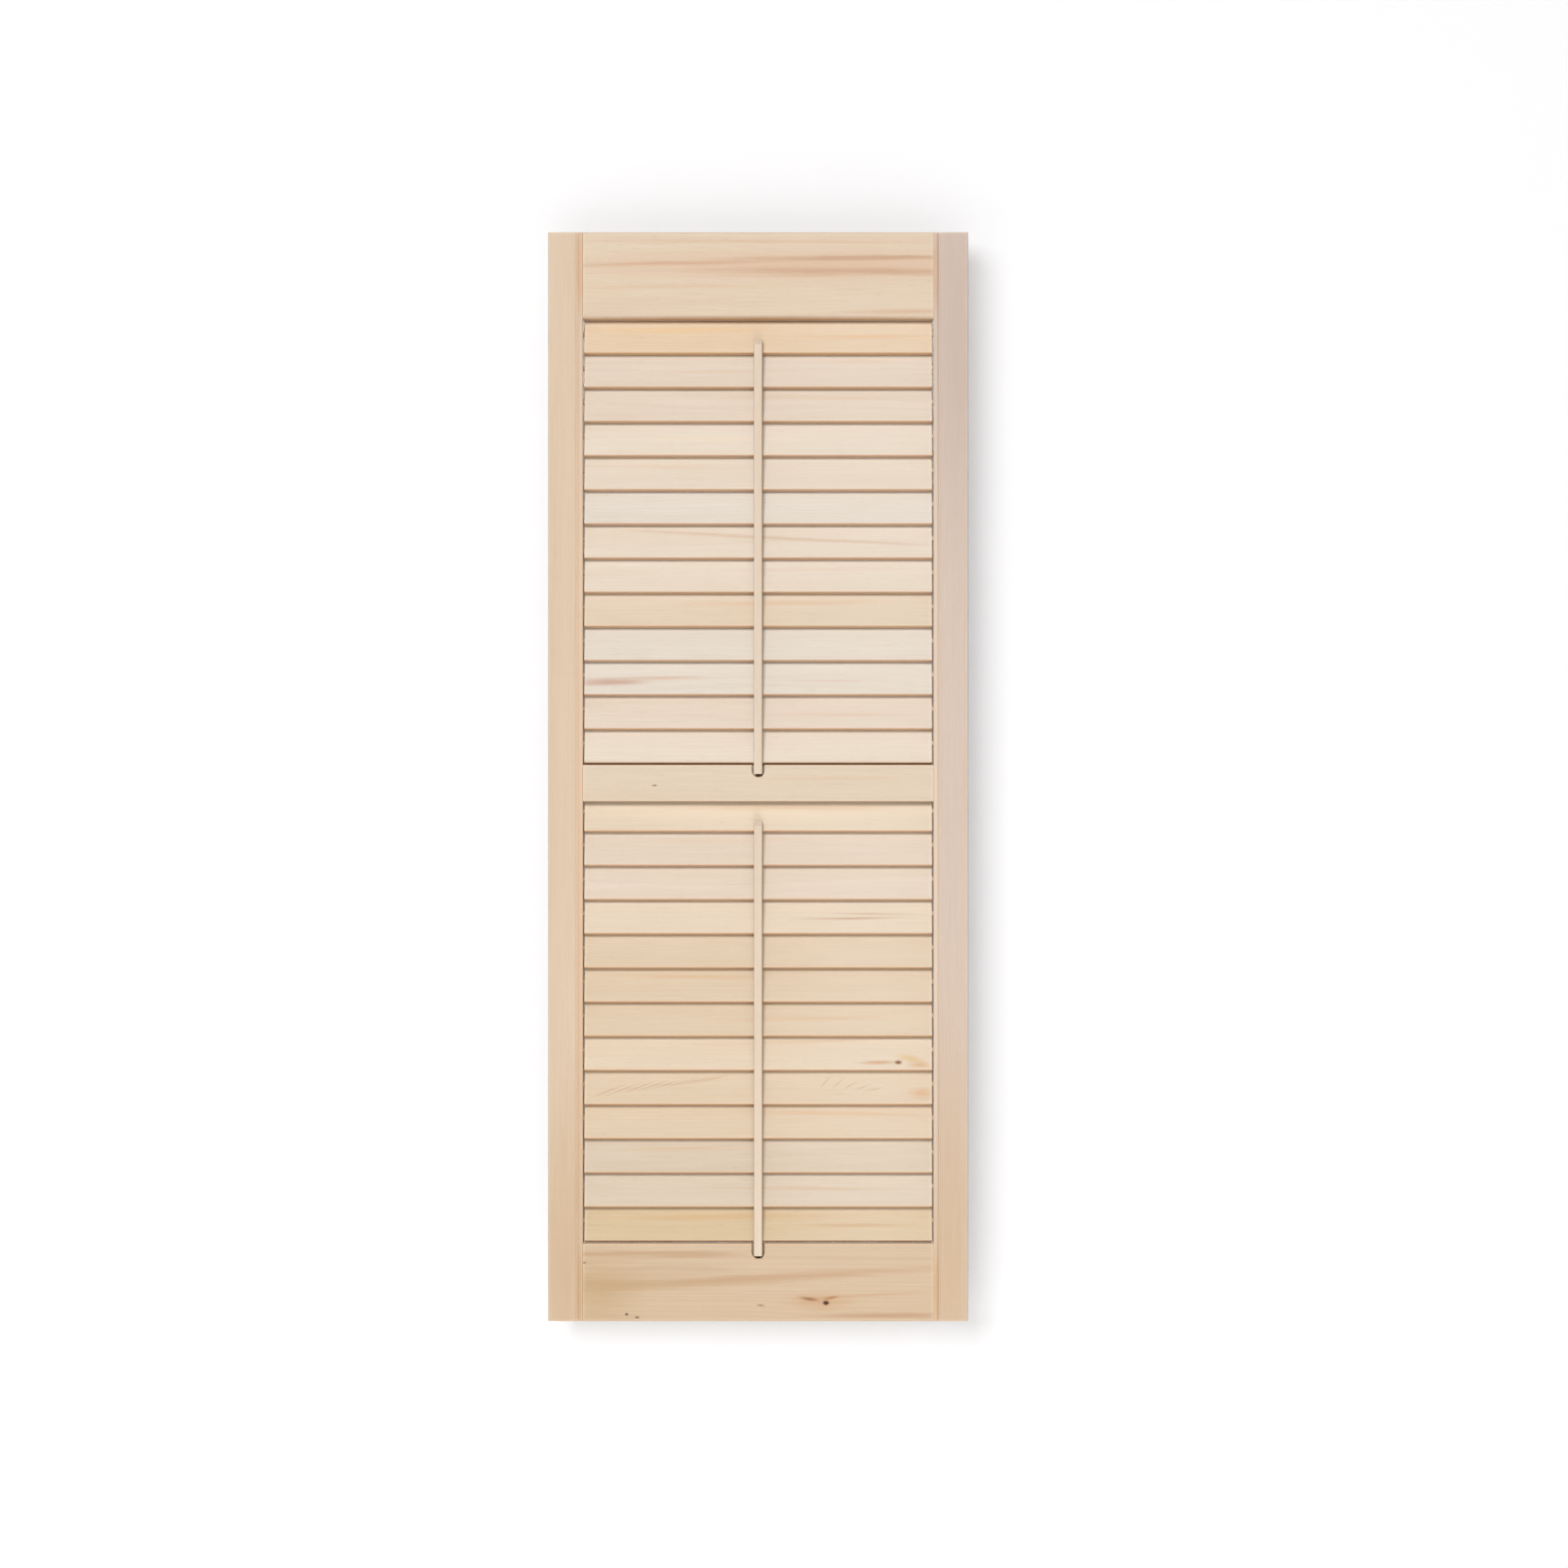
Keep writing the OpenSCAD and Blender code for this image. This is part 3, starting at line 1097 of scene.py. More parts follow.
@dataclass
class Rail:
    """One rail between the stiles.

    Attributes:
        node: Its name in the CAD model.
        tone: Its tone.
        sawn: How its board was sawn.
        seed: Sets its grain apart.
        sizes: The shared sizes.
        first_louver: The louver that closes against its back, if any.
        rod: The tilt rod whose end drops into its notch, if any.
        nose: Radius of the rounded lower front edge.
        arris: Rounding of the other edges.
        rebate_arris: Rounding of the edges of the rebate.
        rings: How much its growth rings show.
        marks: Natural marks; on the top rail also painted shade along its lower nose.
    """

    node: str
    tone: Wood
    sawn: Sawn
    seed: float
    sizes: Sizes
    first_louver: str | None = None
    rod: str | None = None
    nose: float = 0.6 * MM
    arris: float = 0.6 * MM
    rebate_arris: float = 0.3 * MM
    rings: float = 0.13
    marks: tuple[Mark, ...] = ()

    def section(self) -> list[Point]:
        """Draws the section from the rail's middle, as places through and up the rail.

        Returns:
            The corners of the section.
        """
        centre, half = middle_of(self.node)
        t, h, a = half.y, half.z, self.arris
        low = [*arc((t - a, a - h), a, 0, -90, 4)]
        if self.first_louver:
            s = self.sizes
            drop = centre.z - half.z - middle_of(self.first_louver)[0].z
            rebate = s.louver_wide / 2 + s.gap - drop - h
            lip = drop * math.tan(s.lean) - s.louver_thick / (2 * math.cos(s.lean)) - s.gap
            e = self.rebate_arris
            upper = arc((t - e, rebate + e), e, 0, -90, 3)
            low = [*upper, (lip, rebate), *arc((lip - e, e - h), e, 0, -90, 3)]
        return [
            *arc((self.nose - t, self.nose - h), self.nose, 270, 180, 7),
            *arc((a - t, h - a), a, 180, 90, 4),
            *arc((t - a, h - a), a, 90, 0, 4),
            *low,
        ]

    def notch(self) -> Piece:
        """Makes the cutter for the round-ended notch that takes the end of a tilt rod.

        Returns:
            The cutter, in the rail's own place.
        """
        centre, half = middle_of(self.node)
        s = self.sizes
        rod_low, rod_high = (Vector(v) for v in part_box(self.rod))
        radius = (rod_high.x - rod_low.x) / 2 + s.rod_side_room
        floor = rod_low.z - s.rod_end_room - centre.z
        back = rod_high.y + s.notch_back_room - centre.y
        top = half.z + 2 * MM
        outline = [(-radius, top), *arc((0, floor + radius), radius, 180, 360, 18), (radius, top)]
        ease, front = 0.35 * MM, -half.y
        return stick(
            "notch",
            outline,
            [(front - PROUD, -PROUD - ease), (front + ease, 0), (back, 0)],
            lambda along, u, v: (u, along, v),
        )

    def build(self) -> Piece:
        """Builds and dresses the rail.

        Returns:
            The rail.
        """
        centre, half = middle_of(self.node)
        piece = stick(
            self.node + "_shown",
            self.section(),
            eased_stations(-half.x, half.x, 0.2 * MM),
            lambda along, u, v: (along, u, v),
        )
        cutters = [self.notch()] if self.rod else []
        radius = self.sizes.dowel_radius + self.sizes.dowel_room
        hole = [(-PROUD, radius), (self.sizes.dowel_deep, radius)]
        for z in dowel_heights():
            if abs(z - centre.z) <= half.z:
                cutters += [drill(side * half.x, -side, z - centre.z, hole) for side in (-1, 1)]
        cut_away(piece, cutters)
        piece.location = centre
        smooth_over(piece)
        finish = BareWood(
            name=self.node.replace("_", " ") + " wood",
            tone=self.tone,
            half_size=(half.x, half.z, half.y),
            sawn=self.sawn,
            seed=self.seed,
            ring_width=0.0029,
            ring_strength=self.rings,
            wander=0.0035,
            marks=self.marks,
        )
        return hand_over(piece, finish, self.node, "frame")


# --- Louvers and tilt rods


@dataclass
class Louver:
    """A turning louver with rounded edges and a pin turned on each end.

    Attributes:
        sizes: The shared sizes.
        end_gap: From the louver's end to the stile.
        ease: Rounding of the louver's ends.
        corner: Radius of the rounded corners of its long edges.
        flat_steps: Steps along each flat of the section.
        round_steps: Steps round each long edge of the section.
    """

    sizes: Sizes
    end_gap: float = 0.8 * MM
    ease: float = 0.4 * MM
    corner: float = 0.75 * MM
    flat_steps: int = 8
    round_steps: int = 16

    def section(self) -> list[Point]:
        """Draws the section upright.

        Returns:
            Its corners, as places through and up the louver.
        """
        t, w, r = self.sizes.louver_thick / 2, self.sizes.louver_wide / 2, self.corner
        half = self.round_steps // 2 - 1
        edge = [*arc((r - t, w - r), r, 180, 90, half), (0.0, w), *arc((t - r, w - r), r, 90, 0, half)]
        flat = [(w - r) * (1 - 2 * k / self.flat_steps) for k in range(1, self.flat_steps)]
        return [
            *edge,
            *[(t, z) for z in flat],
            *[(-y, -z) for y, z in edge],
            *[(-t, -z) for z in flat],
        ]

    def pin_ring(self, radius: float) -> list[Point]:
        """Draws the pin's section with as many points as the louver's, matched to it.

        Args:
            radius: Radius of the pin.

        Returns:
            Its corners.
        """
        flat = 60.0
        steps, flats = self.round_steps, self.flat_steps
        angles = []
        for start in (180 - flat / 2, -flat / 2):
            angles += [start - k * (180 - flat) / steps for k in range(steps + 1)]
            angles += [start - 180 + flat - k * flat / flats for k in range(1, flats)]
        return [(radius * math.cos(a), radius * math.sin(a)) for a in map(math.radians, angles)]

    def build(self) -> Piece:
        """Builds one louver about its own pivot.

        Returns:
            The louver.
        """
        end = abs(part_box("upper_louver_01")[0][0])
        shoulder = abs(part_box("left_stile")[1][0]) - self.end_gap
        r, outline = self.sizes.pin_radius, self.section()
        # The pin's tip is rounded, and its foot spreads where it meets the louver's end.
        tip = [(end, r - 0.5 * MM), (end - 0.2 * MM, r - 0.15 * MM), (end - 0.6 * MM, r)]
        foot = [(shoulder + 0.35 * MM, r), (shoulder, r + 0.25 * MM)]
        half_end = [(x, self.pin_ring(radius)) for x, radius in tip + foot]
        half_end += [
            (shoulder - along, drawn_in(outline, draw))
            for along, draw in eased_stations(0, 1, self.ease)[:4]
        ]
        rings = [[Vector((-x, y, z)) for y, z in ring] for x, ring in half_end]
        rings += [[Vector((x, y, z)) for y, z in ring] for x, ring in reversed(half_end)]
        piece = skin("louver pattern", rings)
        smooth_over(piece)
        return piece


@dataclass
class TiltRod:
    """A square rod stapled to the front edges of one bank.

    Attributes:
        bank: "upper" or "lower".
        seed: Sets its grain apart.
        sizes: The shared sizes.
        standoff: From the rod's back to the hinge line.
        arris: Rounding of the long edges.
        end_ease: Rounding of the bottom end.
        tip_ease: Width of the bevels at the top.
        slope: Height and depth of the sloped cut at the top.
        wire: Radius of the staple wire.
        loop: Radius of a staple's half-round crown.
        leg: Length of a staple's legs inside the rod.
    """

    bank: str
    seed: float
    sizes: Sizes
    standoff: float = 2.4 * MM
    arris: float = 1.0 * MM
    end_ease: float = 0.35 * MM
    tip_ease: float = 0.2 * MM
    slope: Point = (4 * MM, 2.4 * MM)
    wire: float = 0.5 * MM
    loop: float = 1.3 * MM
    leg: float = 4 * MM

    @property
    def node(self) -> str:
        """The rod's name in the CAD model."""
        return f"{self.bank}_tilt_rod"

    def stick(self) -> Piece:
        """Builds the wooden rod.

        Returns:
            The rod.
        """
        low, high = (Vector(v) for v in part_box(self.node))
        front, back = low.y, self.sizes.hinge[0] - self.standoff
        centre = Vector((0, (front + back) / 2, (low.z + high.z) / 2))
        w, d, h, a = high.x, (back - front) / 2, (high.z - low.z) / 2, self.arris
        corners = ((a - w, a - d, 180), (w - a, a - d, 270), (w - a, d - a, 0), (a - w, d - a, 90))
        outline = [point for u, v, start in corners for point in arc((u, v), a, start, start + 90, 4)]
        stations = eased_stations(-h, h, self.end_ease)[:4] + [(h, 0.0)]
        piece = stick(self.node + "_shown", outline, stations, lambda along, u, v: (u, v, along))
        tall, deep = self.slope
        bm = bmesh.new()
        bm.from_mesh(piece.data)
        bmesh.ops.bisect_plane(
            bm,
            geom=[*bm.verts, *bm.edges, *bm.faces],
            plane_co=(0, deep - d, h),
            plane_no=Vector((0, -tall, deep)).normalized(),
            clear_outer=True,
        )
        rim = [e for e in bm.edges if e.is_boundary]
        bmesh.ops.holes_fill(bm, edges=rim, sides=0)
        tips = [
            e
            for e in bm.edges
            if min(v.co.z for v in e.verts) > h - tall - 0.4 * MM and len(e.link_faces) == 2
            and e.calc_face_angle(0) > math.radians(30)
        ]
        bmesh.ops.bevel(bm, geom=tips, offset=self.tip_ease, segments=2, profile=0.5, affect="EDGES")
        bmesh.ops.recalc_face_normals(bm, faces=bm.faces)
        bm.to_mesh(piece.data)
        bm.free()
        piece.location = centre
        smooth_over(piece)
        finish = BareWood(
            name=f"{self.bank} rod wood",
            tone=Wood.ROD,
            half_size=(h, w, d),
            grain=Grain.UPRIGHT,
            sawn=Sawn.RIFT,
            seed=self.seed,
            ring_width=0.0021,
            ring_strength=0.14,
            wander=0.0015,
            edge=0.15,
            side=0.0,
            # Painted shade: the rod's right flank, turned from the key lamp, is toned darker brown.
            marks=(Mark((0, 3.0), (420, 0.9), "#947655", 0.5, ragged=0.02, crisp=0.3),),
        )
        return hand_over(piece, finish, self.node, self.node)

    def staple(self, height: float) -> Piece:
        """Bends one staple through its louver's staple.

        Args:
            height: Height of the hinge line.

        Returns:
            The staple.
        """
        y0 = self.sizes.hinge[0]
        end = y0 - self.standoff - self.leg
        path = [Vector((0, y0 + y, height + z)) for y, z in arc((0, 0), self.loop, -90, 90, 14)]
        path = [Vector((0, end, height - self.loop)), *path, Vector((0, end, height + self.loop))]
        rings = []
        for i, here in enumerate(path):
            ahead = (path[min(i + 1, len(path) - 1)] - path[max(i - 1, 0)]).normalized()
            side, across = Vector((1, 0, 0)), ahead.cross(Vector((1, 0, 0)))
            rings.append([here + side * x + across * y for x, y in arc((0, 0), self.wire, 0, 330, 11)])
        return skin("staple", rings)

    def staples(self) -> Piece:
        """Builds the rod's staples as one piece.

        Returns:
            The piece.
        """
        drop = self.sizes.hinge[1]
        made = [self.staple(middle_of(node)[0].z + drop) for node in louver_nodes((self.bank,))]
        piece = joined(made)
        piece.name = f"{self.bank}_rod_staples"
        smooth_over(piece, 60)
        finish = StapleWire(name=f"{self.bank} rod staples", seed=self.seed)
        return hand_over(piece, finish, self.node, self.node)

    def build(self) -> list[Piece]:
        """Builds the rod and its staples and returns both."""
        return [self.stick(), self.staples()]


LEFT_STILE_MARKS = (
    # The first mark is a painted highlight: a paler peach strip along the lit bead.
    Mark((0, 10.6), (440, 3.2), "#CDAA8C", 0.45, ragged=0.05, crisp=0.4),
    Mark((-200, 10.8), (250, 3.6), "#B58A60", 0.3, ragged=0.05, crisp=0.3),
    Mark((376, 10.8), (44, 3.8), "#B98A62", 0.45, ragged=0.05, crisp=0.4),
    Mark((-382, 10.8), (44, 3.8), "#A8804C", 0.5, ragged=0.05, crisp=0.4),
    # Painted shade: the stile is darker towards its foot, where the light falls off.
    Mark((-370, 0), (210, 40), "#A98D6D", 0.6, ragged=0.2),
)
RIGHT_STILE_MARKS = (
    Mark((330, 6), (230, 36), "#A8968C", 0.6, ragged=0.15),
    # Painted shade: the stile is darker towards its foot, where the light falls off.
    Mark((-370, 0), (270, 44), "#AD9068", 0.6, ragged=0.2),
    # A painted highlight: a paler strip along the bead, which faces the light.
    Mark((0, -10.6), (440, 2.6), "#D4BCA2", 0.4, ragged=0.05, crisp=0.4),
    Mark((376, -10.8), (44, 3.6), "#B08862", 0.45, ragged=0.05, crisp=0.4),
    Mark((-382, -10.8), (44, 3.6), "#AE8450", 0.45, ragged=0.05, crisp=0.4),
)
TOP_RAIL_MARKS = (
    Mark((50, 8), (250, 16), "#BC967A", 0.5, ragged=0.25),
    Mark((-70, 9.2), (130, 2.5), "#AC8062", 0.5, lean=1.1, ragged=0.45),
    Mark((80, 13.4), (150, 3.0), "#A37C5E", 0.62, lean=0.5, ragged=0.45),
    Mark((70, 3.6), (170, 4.2), "#A58063", 0.6, lean=-0.4, ragged=0.45),
    # Painted shade: the rail's rounded lower nose and the gap under it are toned dark brown, where they
    # turn from the light.
    Mark((0, -33.2), (260, 4.6), "#8A5A2A", 0.85, ragged=0.06, crisp=0.2),
    Mark((40, 0.2), (130, 2.0), "#B48B6C", 0.35, lean=0.4, ragged=0.5),
    Mark((112, -26.5), (70, 3.4), "#B18868", 0.45),
    Mark((5, 25.5), (210, 2.0), "#B98F72", 0.35, lean=-0.4),
    Mark((-60, -8.0), (140, 2.4), "#BB9873", 0.3, lean=0.5),
)
MIDDLE_RAIL_MARKS = (
    Mark((-77, -1.7), (2.8, 1.1), "#7A5233", 0.8, ragged=0.1, crisp=0.2),
    Mark((60, 3.5), (90, 2.6), "#BB9873", 0.3),
)
BOTTOM_RAIL_MARKS = (
    Mark((-92, 21.6), (110, 3.0), "#987650", 0.55, lean=0.6, ragged=0.5),
    Mark((-48, 20.0), (70, 4.0), "#9C7C5A", 0.5, lean=1.5, ragged=0.5),
    Mark((-96, -1.4), (130, 9.0), "#A0835F", 0.55, lean=0.6, ragged=0.5),
    Mark((-12, 1.8), (110, 5.0), "#9F7E5B", 0.55, lean=2.6, ragged=0.45),
    Mark((66, 6.8), (120, 5.2), "#A58264", 0.5, lean=2.2, ragged=0.45),
    Mark((96, -24.8), (84, 2.8), "#9B7052", 0.65, ragged=0.4),
    Mark((82, -9.6), (70, 1.8), "#AD815A", 0.4, lean=3.0),
    Mark((-72, 10.0), (76, 8.0), "#9C8566", 0.35, ragged=0.8),
    Mark((-118, -4), (46, 44), "#9F8054", 0.4, ragged=0.3),
    Mark((46, -14.0), (36, 10.0), "#A87A4E", 0.4),
    Mark((38.0, -12.4), (11.0, 2.2), "#7D4E2C", 0.85, lean=-8.0, ragged=0.3),
    Mark((54.5, -11.5), (8.5, 1.8), "#90592F", 0.8, lean=10.0, ragged=0.3),
    Mark((50.4, -15.2), (4.2, 3.4), "#8A5A2C", 0.7, ragged=0.2),
    Mark((50.4, -15.4), (2.8, 2.2), "#40240C", 1.0, ragged=0.1, crisp=0.5),
    Mark((-129.2, 14.5), (1.6, 1.1), "#42291A", 0.9, ragged=0.1, crisp=0.3),
    Mark((-97.7, -23.8), (1.8, 1.4), "#42291A", 0.9, ragged=0.1, crisp=0.3),
    Mark((-89.9, -26.1), (2.4, 1.1), "#42291A", 0.9, ragged=0.1, crisp=0.3),
    Mark((2.0, -17.2), (4.6, 1.3), "#7C5333", 0.7, lean=-6.0, ragged=0.2),
)
PALE_END = Mark((85, 0), (105, 60), "#CFC4B8", 0.22, ragged=0.1)
UPPER_MARKS = {
    1: (
        Mark((-60, 2), (100, 3.4), "#D2A768", 0.35),
        Mark((75, -3), (80, 3.0), "#C79A68", 0.35),
        # Painted shadow: a dark brown band along the louver's top, where the top rail's lip shades it.
        Mark((0, 10.4), (260, 3.4), "#85552A", 0.7, ragged=0.08),
    ),
    2: (Mark((-30, -4), (110, 2.4), "#BF9F80", 0.3, lean=0.8), Mark((70, 4), (60, 2.0), "#BF9F80", 0.25)),
    3: (Mark((40, 3), (100, 2.6), "#C09C78", 0.3, lean=-0.8),),
    4: (Mark((-40, -3), (90, 3.0), "#D6C2A6", 0.35),),
    5: (Mark((-70, 2), (80, 2.6), "#C3A386", 0.3, lean=-0.6),),
    7: (
        Mark((-46, 3), (84, 2.0), "#B38C6C", 0.4, lean=-3.0),
        Mark((26, -1), (84, 2.2), "#B38C6C", 0.4, lean=-2.6),
        Mark((92, -4), (56, 1.8), "#B38C6C", 0.35, lean=-3.0),
    ),
    8: (Mark((50, 2), (90, 2.2), "#C2A48C", 0.3, lean=0.6),),
    9: (Mark((20, 2), (120, 3.6), "#C09A74", 0.35, lean=0.6),),
    11: (
        Mark((-112, -6.5), (40, 4.4), "#A97F69", 0.75, lean=1.5),
        Mark((-70, -3.0), (50, 2.2), "#B5876D", 0.5, lean=0.8),
        Mark((50, -5), (60, 1.8), "#BC9880", 0.35),
    ),
    12: (Mark((60, -5), (90, 2.6), "#BE9B7C", 0.3),),
}
LOWER_MARKS = {
    # The first mark of louver 1 is painted light: a paler band that lifts the middle rail's shade off this
    # louver.
    1: (Mark((0, -2), (220, 14), "#D8C9B2", 0.4, ragged=0.1), Mark((30, 2), (130, 3.4), "#B78F66", 0.35)),
    2: (Mark((-20, 3), (110, 2.0), "#C2A588", 0.3, lean=0.5),),
    4: (
        Mark((66, -4.3), (58, 1.5), "#9C724F", 0.55, lean=0.8),
        Mark((84, -0.8), (48, 1.3), "#A27B59", 0.45, lean=-0.8),
    ),
    6: (Mark((-50, 3), (100, 2.6), "#BC9264", 0.35, lean=-1.0),),
    7: (Mark((30, -3), (110, 2.4), "#BC9264", 0.3, lean=0.7),),
    8: (
        Mark((90, -10.0), (20, 2.2), "#A8753F", 0.6, lean=1.0),
        Mark((114, -7.4), (16, 4.6), "#BD9650", 0.5, lean=-14.0),
        Mark((120, -12.0), (13, 3.2), "#B28148", 0.5),
        Mark((104.2, -10.0), (4.0, 2.3), "#6E4019", 1.0, ragged=0.15, crisp=0.1),
        Mark((40, 6), (110, 2.2), "#B49066", 0.35, lean=2.0),
    ),
    9: (
        Mark((122, -7.5), (15, 6.5), "#B98C60", 0.55, ragged=0.4),
        *[
            Mark((-112 + 11 * k, -6 + 1.3 * k), (19, 1.0), "#9F7850", 0.45, lean=21.0 - k, ragged=0.15)
            for k in range(8)
        ],
        *[
            Mark((50 + 9 * k, 1 - 1.4 * k), (9, 1.1), "#A27C54", 0.4, lean=50.0 - 10 * k, ragged=0.2)
            for k in range(5)
        ],
    ),
    10: (Mark((60, 3), (100, 2.4), "#BE9560", 0.35, lean=-1.2),),
    11: (Mark((-60, 2), (90, 2.4), "#B9935F", 0.3, lean=0.8),),
    12: (Mark((40, -2), (110, 2.2), "#B08A5C", 0.3, lean=-0.5),),
    13: (Mark((-30, 2), (130, 3.6), "#B88B52", 0.35, lean=0.5), Mark((70, -4), (70, 2.4), "#AC7F4C", 0.4)),
}

UPPER_TONES = "STRAW CREAM CREAM PEARL PEARL FROST PEARL PEARL HONEY FROST FROST CREAM PEARL"
LOWER_TONES = "HONEY CREAM CREAM HONEY WARM WARM WARM HONEY WARM WARM OAT OAT AMBER"
UPPER_BOARDS, LOWER_BOARDS = (
    tuple(Wood[tone] for tone in tones.split()) for tones in (UPPER_TONES, LOWER_TONES)
)


@dataclass
class Bank:
    """One bank of louvers with its tilt rod.

    Attributes:
        name: "upper" or "lower".
        boards: The tone of each louver, from the top down.
        sizes: The shared sizes.
        marks: Natural marks, by the number of the louver; the first upper louver also takes painted shade
            and the first lower one painted light.
    """

    name: str
    boards: tuple[Wood, ...]
    sizes: Sizes
    marks: dict[int, tuple[Mark, ...]] = field(default_factory=dict)

    def louver(self, pattern: Piece, number: int) -> Piece:
        """Copies the pattern to one louver's place and dresses it.

        Args:
            pattern: The louver built about its own pivot.
            number: The louver's number, from 1 at the top.

        Returns:
            The louver.
        """
        node = f"{self.name}_louver_{number:02d}"
        piece = pattern.copy()
        piece.data = pattern.data.copy()
        piece.name = node + "_shown"
        bpy.context.scene.collection.objects.link(piece)
        piece.location = middle_of(node)[0]
        piece.rotation_euler = (-self.sizes.lean, 0, 0)
        s, cuts = self.sizes, list(Sawn)
        # Every board is sawn from another place, with its own ring width.
        finish = BareWood(
            name=node.replace("_", " ") + " wood",
            tone=self.boards[number - 1],
            half_size=(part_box(node)[1][0] - s.pin_long, s.louver_wide / 2, s.louver_thick / 2),
            sawn=cuts[(number * 3 + len(self.name)) % len(cuts)],
            seed=number * 5.3 + (0 if self.name == "upper" else 91),
            ring_width=0.0019 + 0.0004 * (number * 7 % 5),
            ring_strength=0.12 + 0.035 * (number * 5 % 4),
            wander=0.002,
            # Painted shade on the louver's narrow sides darkens the gaps between closed louvers.
            side=0.6,
            marks=(PALE_END, *self.marks.get(number, ())),
        )
        return hand_over(piece, finish, node, node)

    def build(self, pattern: Piece, wire: Material) -> list[Piece]:
        """Builds the bank.

        Args:
            pattern: The louver built about its own pivot.
            wire: The finish of the louvers' staples.

        Returns:
            The louvers, the rod and the rod's staples.
        """
        pieces = [self.louver(pattern, i + 1) for i in range(len(self.boards))]
        for i in range(len(self.boards)):
            dress(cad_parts[f"{self.name}_louver_staple_{i + 1:02d}"], wire)
        rod_seed = 12.9 if self.name == "upper" else 31.3
        pieces += TiltRod(self.name, seed=rod_seed, sizes=self.sizes).build()
        return pieces


# --- Studio


class Lit(Enum):
    """What a lamp lights: all but the wall, or the wall alone. Its value is the wall's link state."""

    PANEL = "EXCLUDE"
    WALL = "INCLUDE"


@dataclass(frozen=True)
class Lamp:
    """One large soft lamp.

    Attributes:
        name: Its name.
        place: Where it stands.
        size: Width of its square face.
        watts: Its power.
        lights: The wall alone, or everything but the wall.
        colour: Its colour.
    """

    name: str
    place: Triple
    size: float
    watts: float
    lights: Lit
    colour: Triple = (1.0, 1.0, 1.0)


@dataclass
class Studio:
    """A white studio with large soft lamps.

    Attributes:
        lamps: The lamps.
        wall_gap: From the panel's back to the wall.
        wall_half: Half the wall's width.
        wall_top: Height of the wall's top.
        floor_drop: From the panel's foot to the floor.
        floor_half: Half the floor's width and depth.
        fill: Brightness of the even light all round.
        fill_colour: Its colour.
        surroundings: What shows past the wall and the floor.
        lens: Focal length, in millimetres.
        back_wide: Width of the camera's back, in millimetres.
        view_high: Height of the view at the panel's face.
        view_middle: Middle of the view, across and up.
    """

    lamps: tuple[Lamp, ...] = (
        Lamp("key_lamp", (-0.5, -4.2, 2.4), 1.4, 198.0, Lit.PANEL),
        Lamp("low_lamp", (0.1, -0.8, -0.42), 0.5, 3.6, Lit.PANEL),
        Lamp("back_lamp", (0.0, 4.2, 1.9), 1.6, 210.0, Lit.PANEL),
        Lamp("wall_lamp", (0.0, -6.0, 0.45), 0.5, 130.0, Lit.WALL, (0.97, 1.0, 1.06)),
        Lamp("wall_wash", (-2.2, -6.0, 2.6), 3.3, 180.0, Lit.WALL, (0.98, 1.0, 1.04)),
    )
    wall_gap: float = 0.028
    wall_half: float = 3.0
    wall_top: float = 3.2
    floor_drop: float = 0.7
    floor_half: Point = (4.0, 5.0)
    fill: float = 0.23
    fill_colour: Colour = (1.0, 0.88, 0.74, 1.0)
    surroundings: Colour = (0.88, 0.88, 0.88, 1.0)
    lens: float = 85.0
    back_wide: float = 36.0
    view_high: float = 1.1647
    view_middle: Point = (0.0192, 0.3991)

    def sheet(self, name: str, corners: Sequence[Triple]) -> Piece:
        """Makes one large flat face of the studio.

        Args:
            name: Its name.
            corners: Its corners in order.

        Returns:
            The sheet.
        """
        bm = bmesh.new()
        bm.faces.new([bm.verts.new(c) for c in corners])
        made = from_bmesh(name, bm)
        return made

    def wall(self) -> Piece:
        """Hangs the white wall, which shows from the front only.

        It lets the lamps' light through to the panel's back.

        Returns:
            The wall.
        """
        x, y = self.wall_half, CAD_BOX[1].y + self.wall_gap
        low, high = -self.floor_drop, self.wall_top
        wall = self.sheet("studio_wall", [(-x, y, low), (x, y, low), (x, y, high), (-x, y, high)])
        made, bench, shader = started("studio wall white")
        shader.inputs["Base Color"].default_value = (0.94, 0.94, 0.94, 1)
        shader.inputs["Roughness"].default_value = 0.9
        shader.inputs["Specular IOR Level"].default_value = 0.1
        # The camera sees the wall. Light that falls straight on what the camera sees passes through it,
        # and light that gets there by another bounce does not.
        path = bench.add("LightPath").outputs
        back = bench.add("NewGeometry").outputs["Backfacing"]
        later = bench.sum("ADD", path["Diffuse Depth"], path["Is Shadow Ray"])
        later = bench.sum("GREATER_THAN", later, 1.5)
        solid = bench.sum("MAXIMUM", path["Is Camera Ray"], later)
        shown = bench.times(solid, bench.sum("SUBTRACT", 1.0, back))
        clear = bench.add("BsdfTransparent").outputs[0]
        mixed = bench.add("MixShader", {0: shown, 1: clear, 2: shader.outputs[0]})
        bench.feed(made.node_tree.nodes["Material Output"].inputs["Surface"], mixed.outputs[0])
        dress(wall, made)
        return wall

    def floor(self) -> None:
        """Lays the pale floor."""
        (x, y), z = self.floor_half, -self.floor_drop
        floor = self.sheet("studio_floor", [(-x, -y, z), (x, -y, z), (x, y, z), (-x, y, z)])
        made, bench, shader = started("studio floor pale")
        place = bench.add("TexCoord").outputs["Object"]
        mottle = bench.noise(place, (3.0, 3.0, 3.0), 3.0, 0.5).outputs[0]
        pale = bench.mix(mottle, (0.80, 0.80, 0.79, 1), (0.84, 0.84, 0.83, 1))
        bench.feed(shader.inputs["Base Color"], pale)
        shader.inputs["Roughness"].default_value = 0.85
        dress(floor, made)

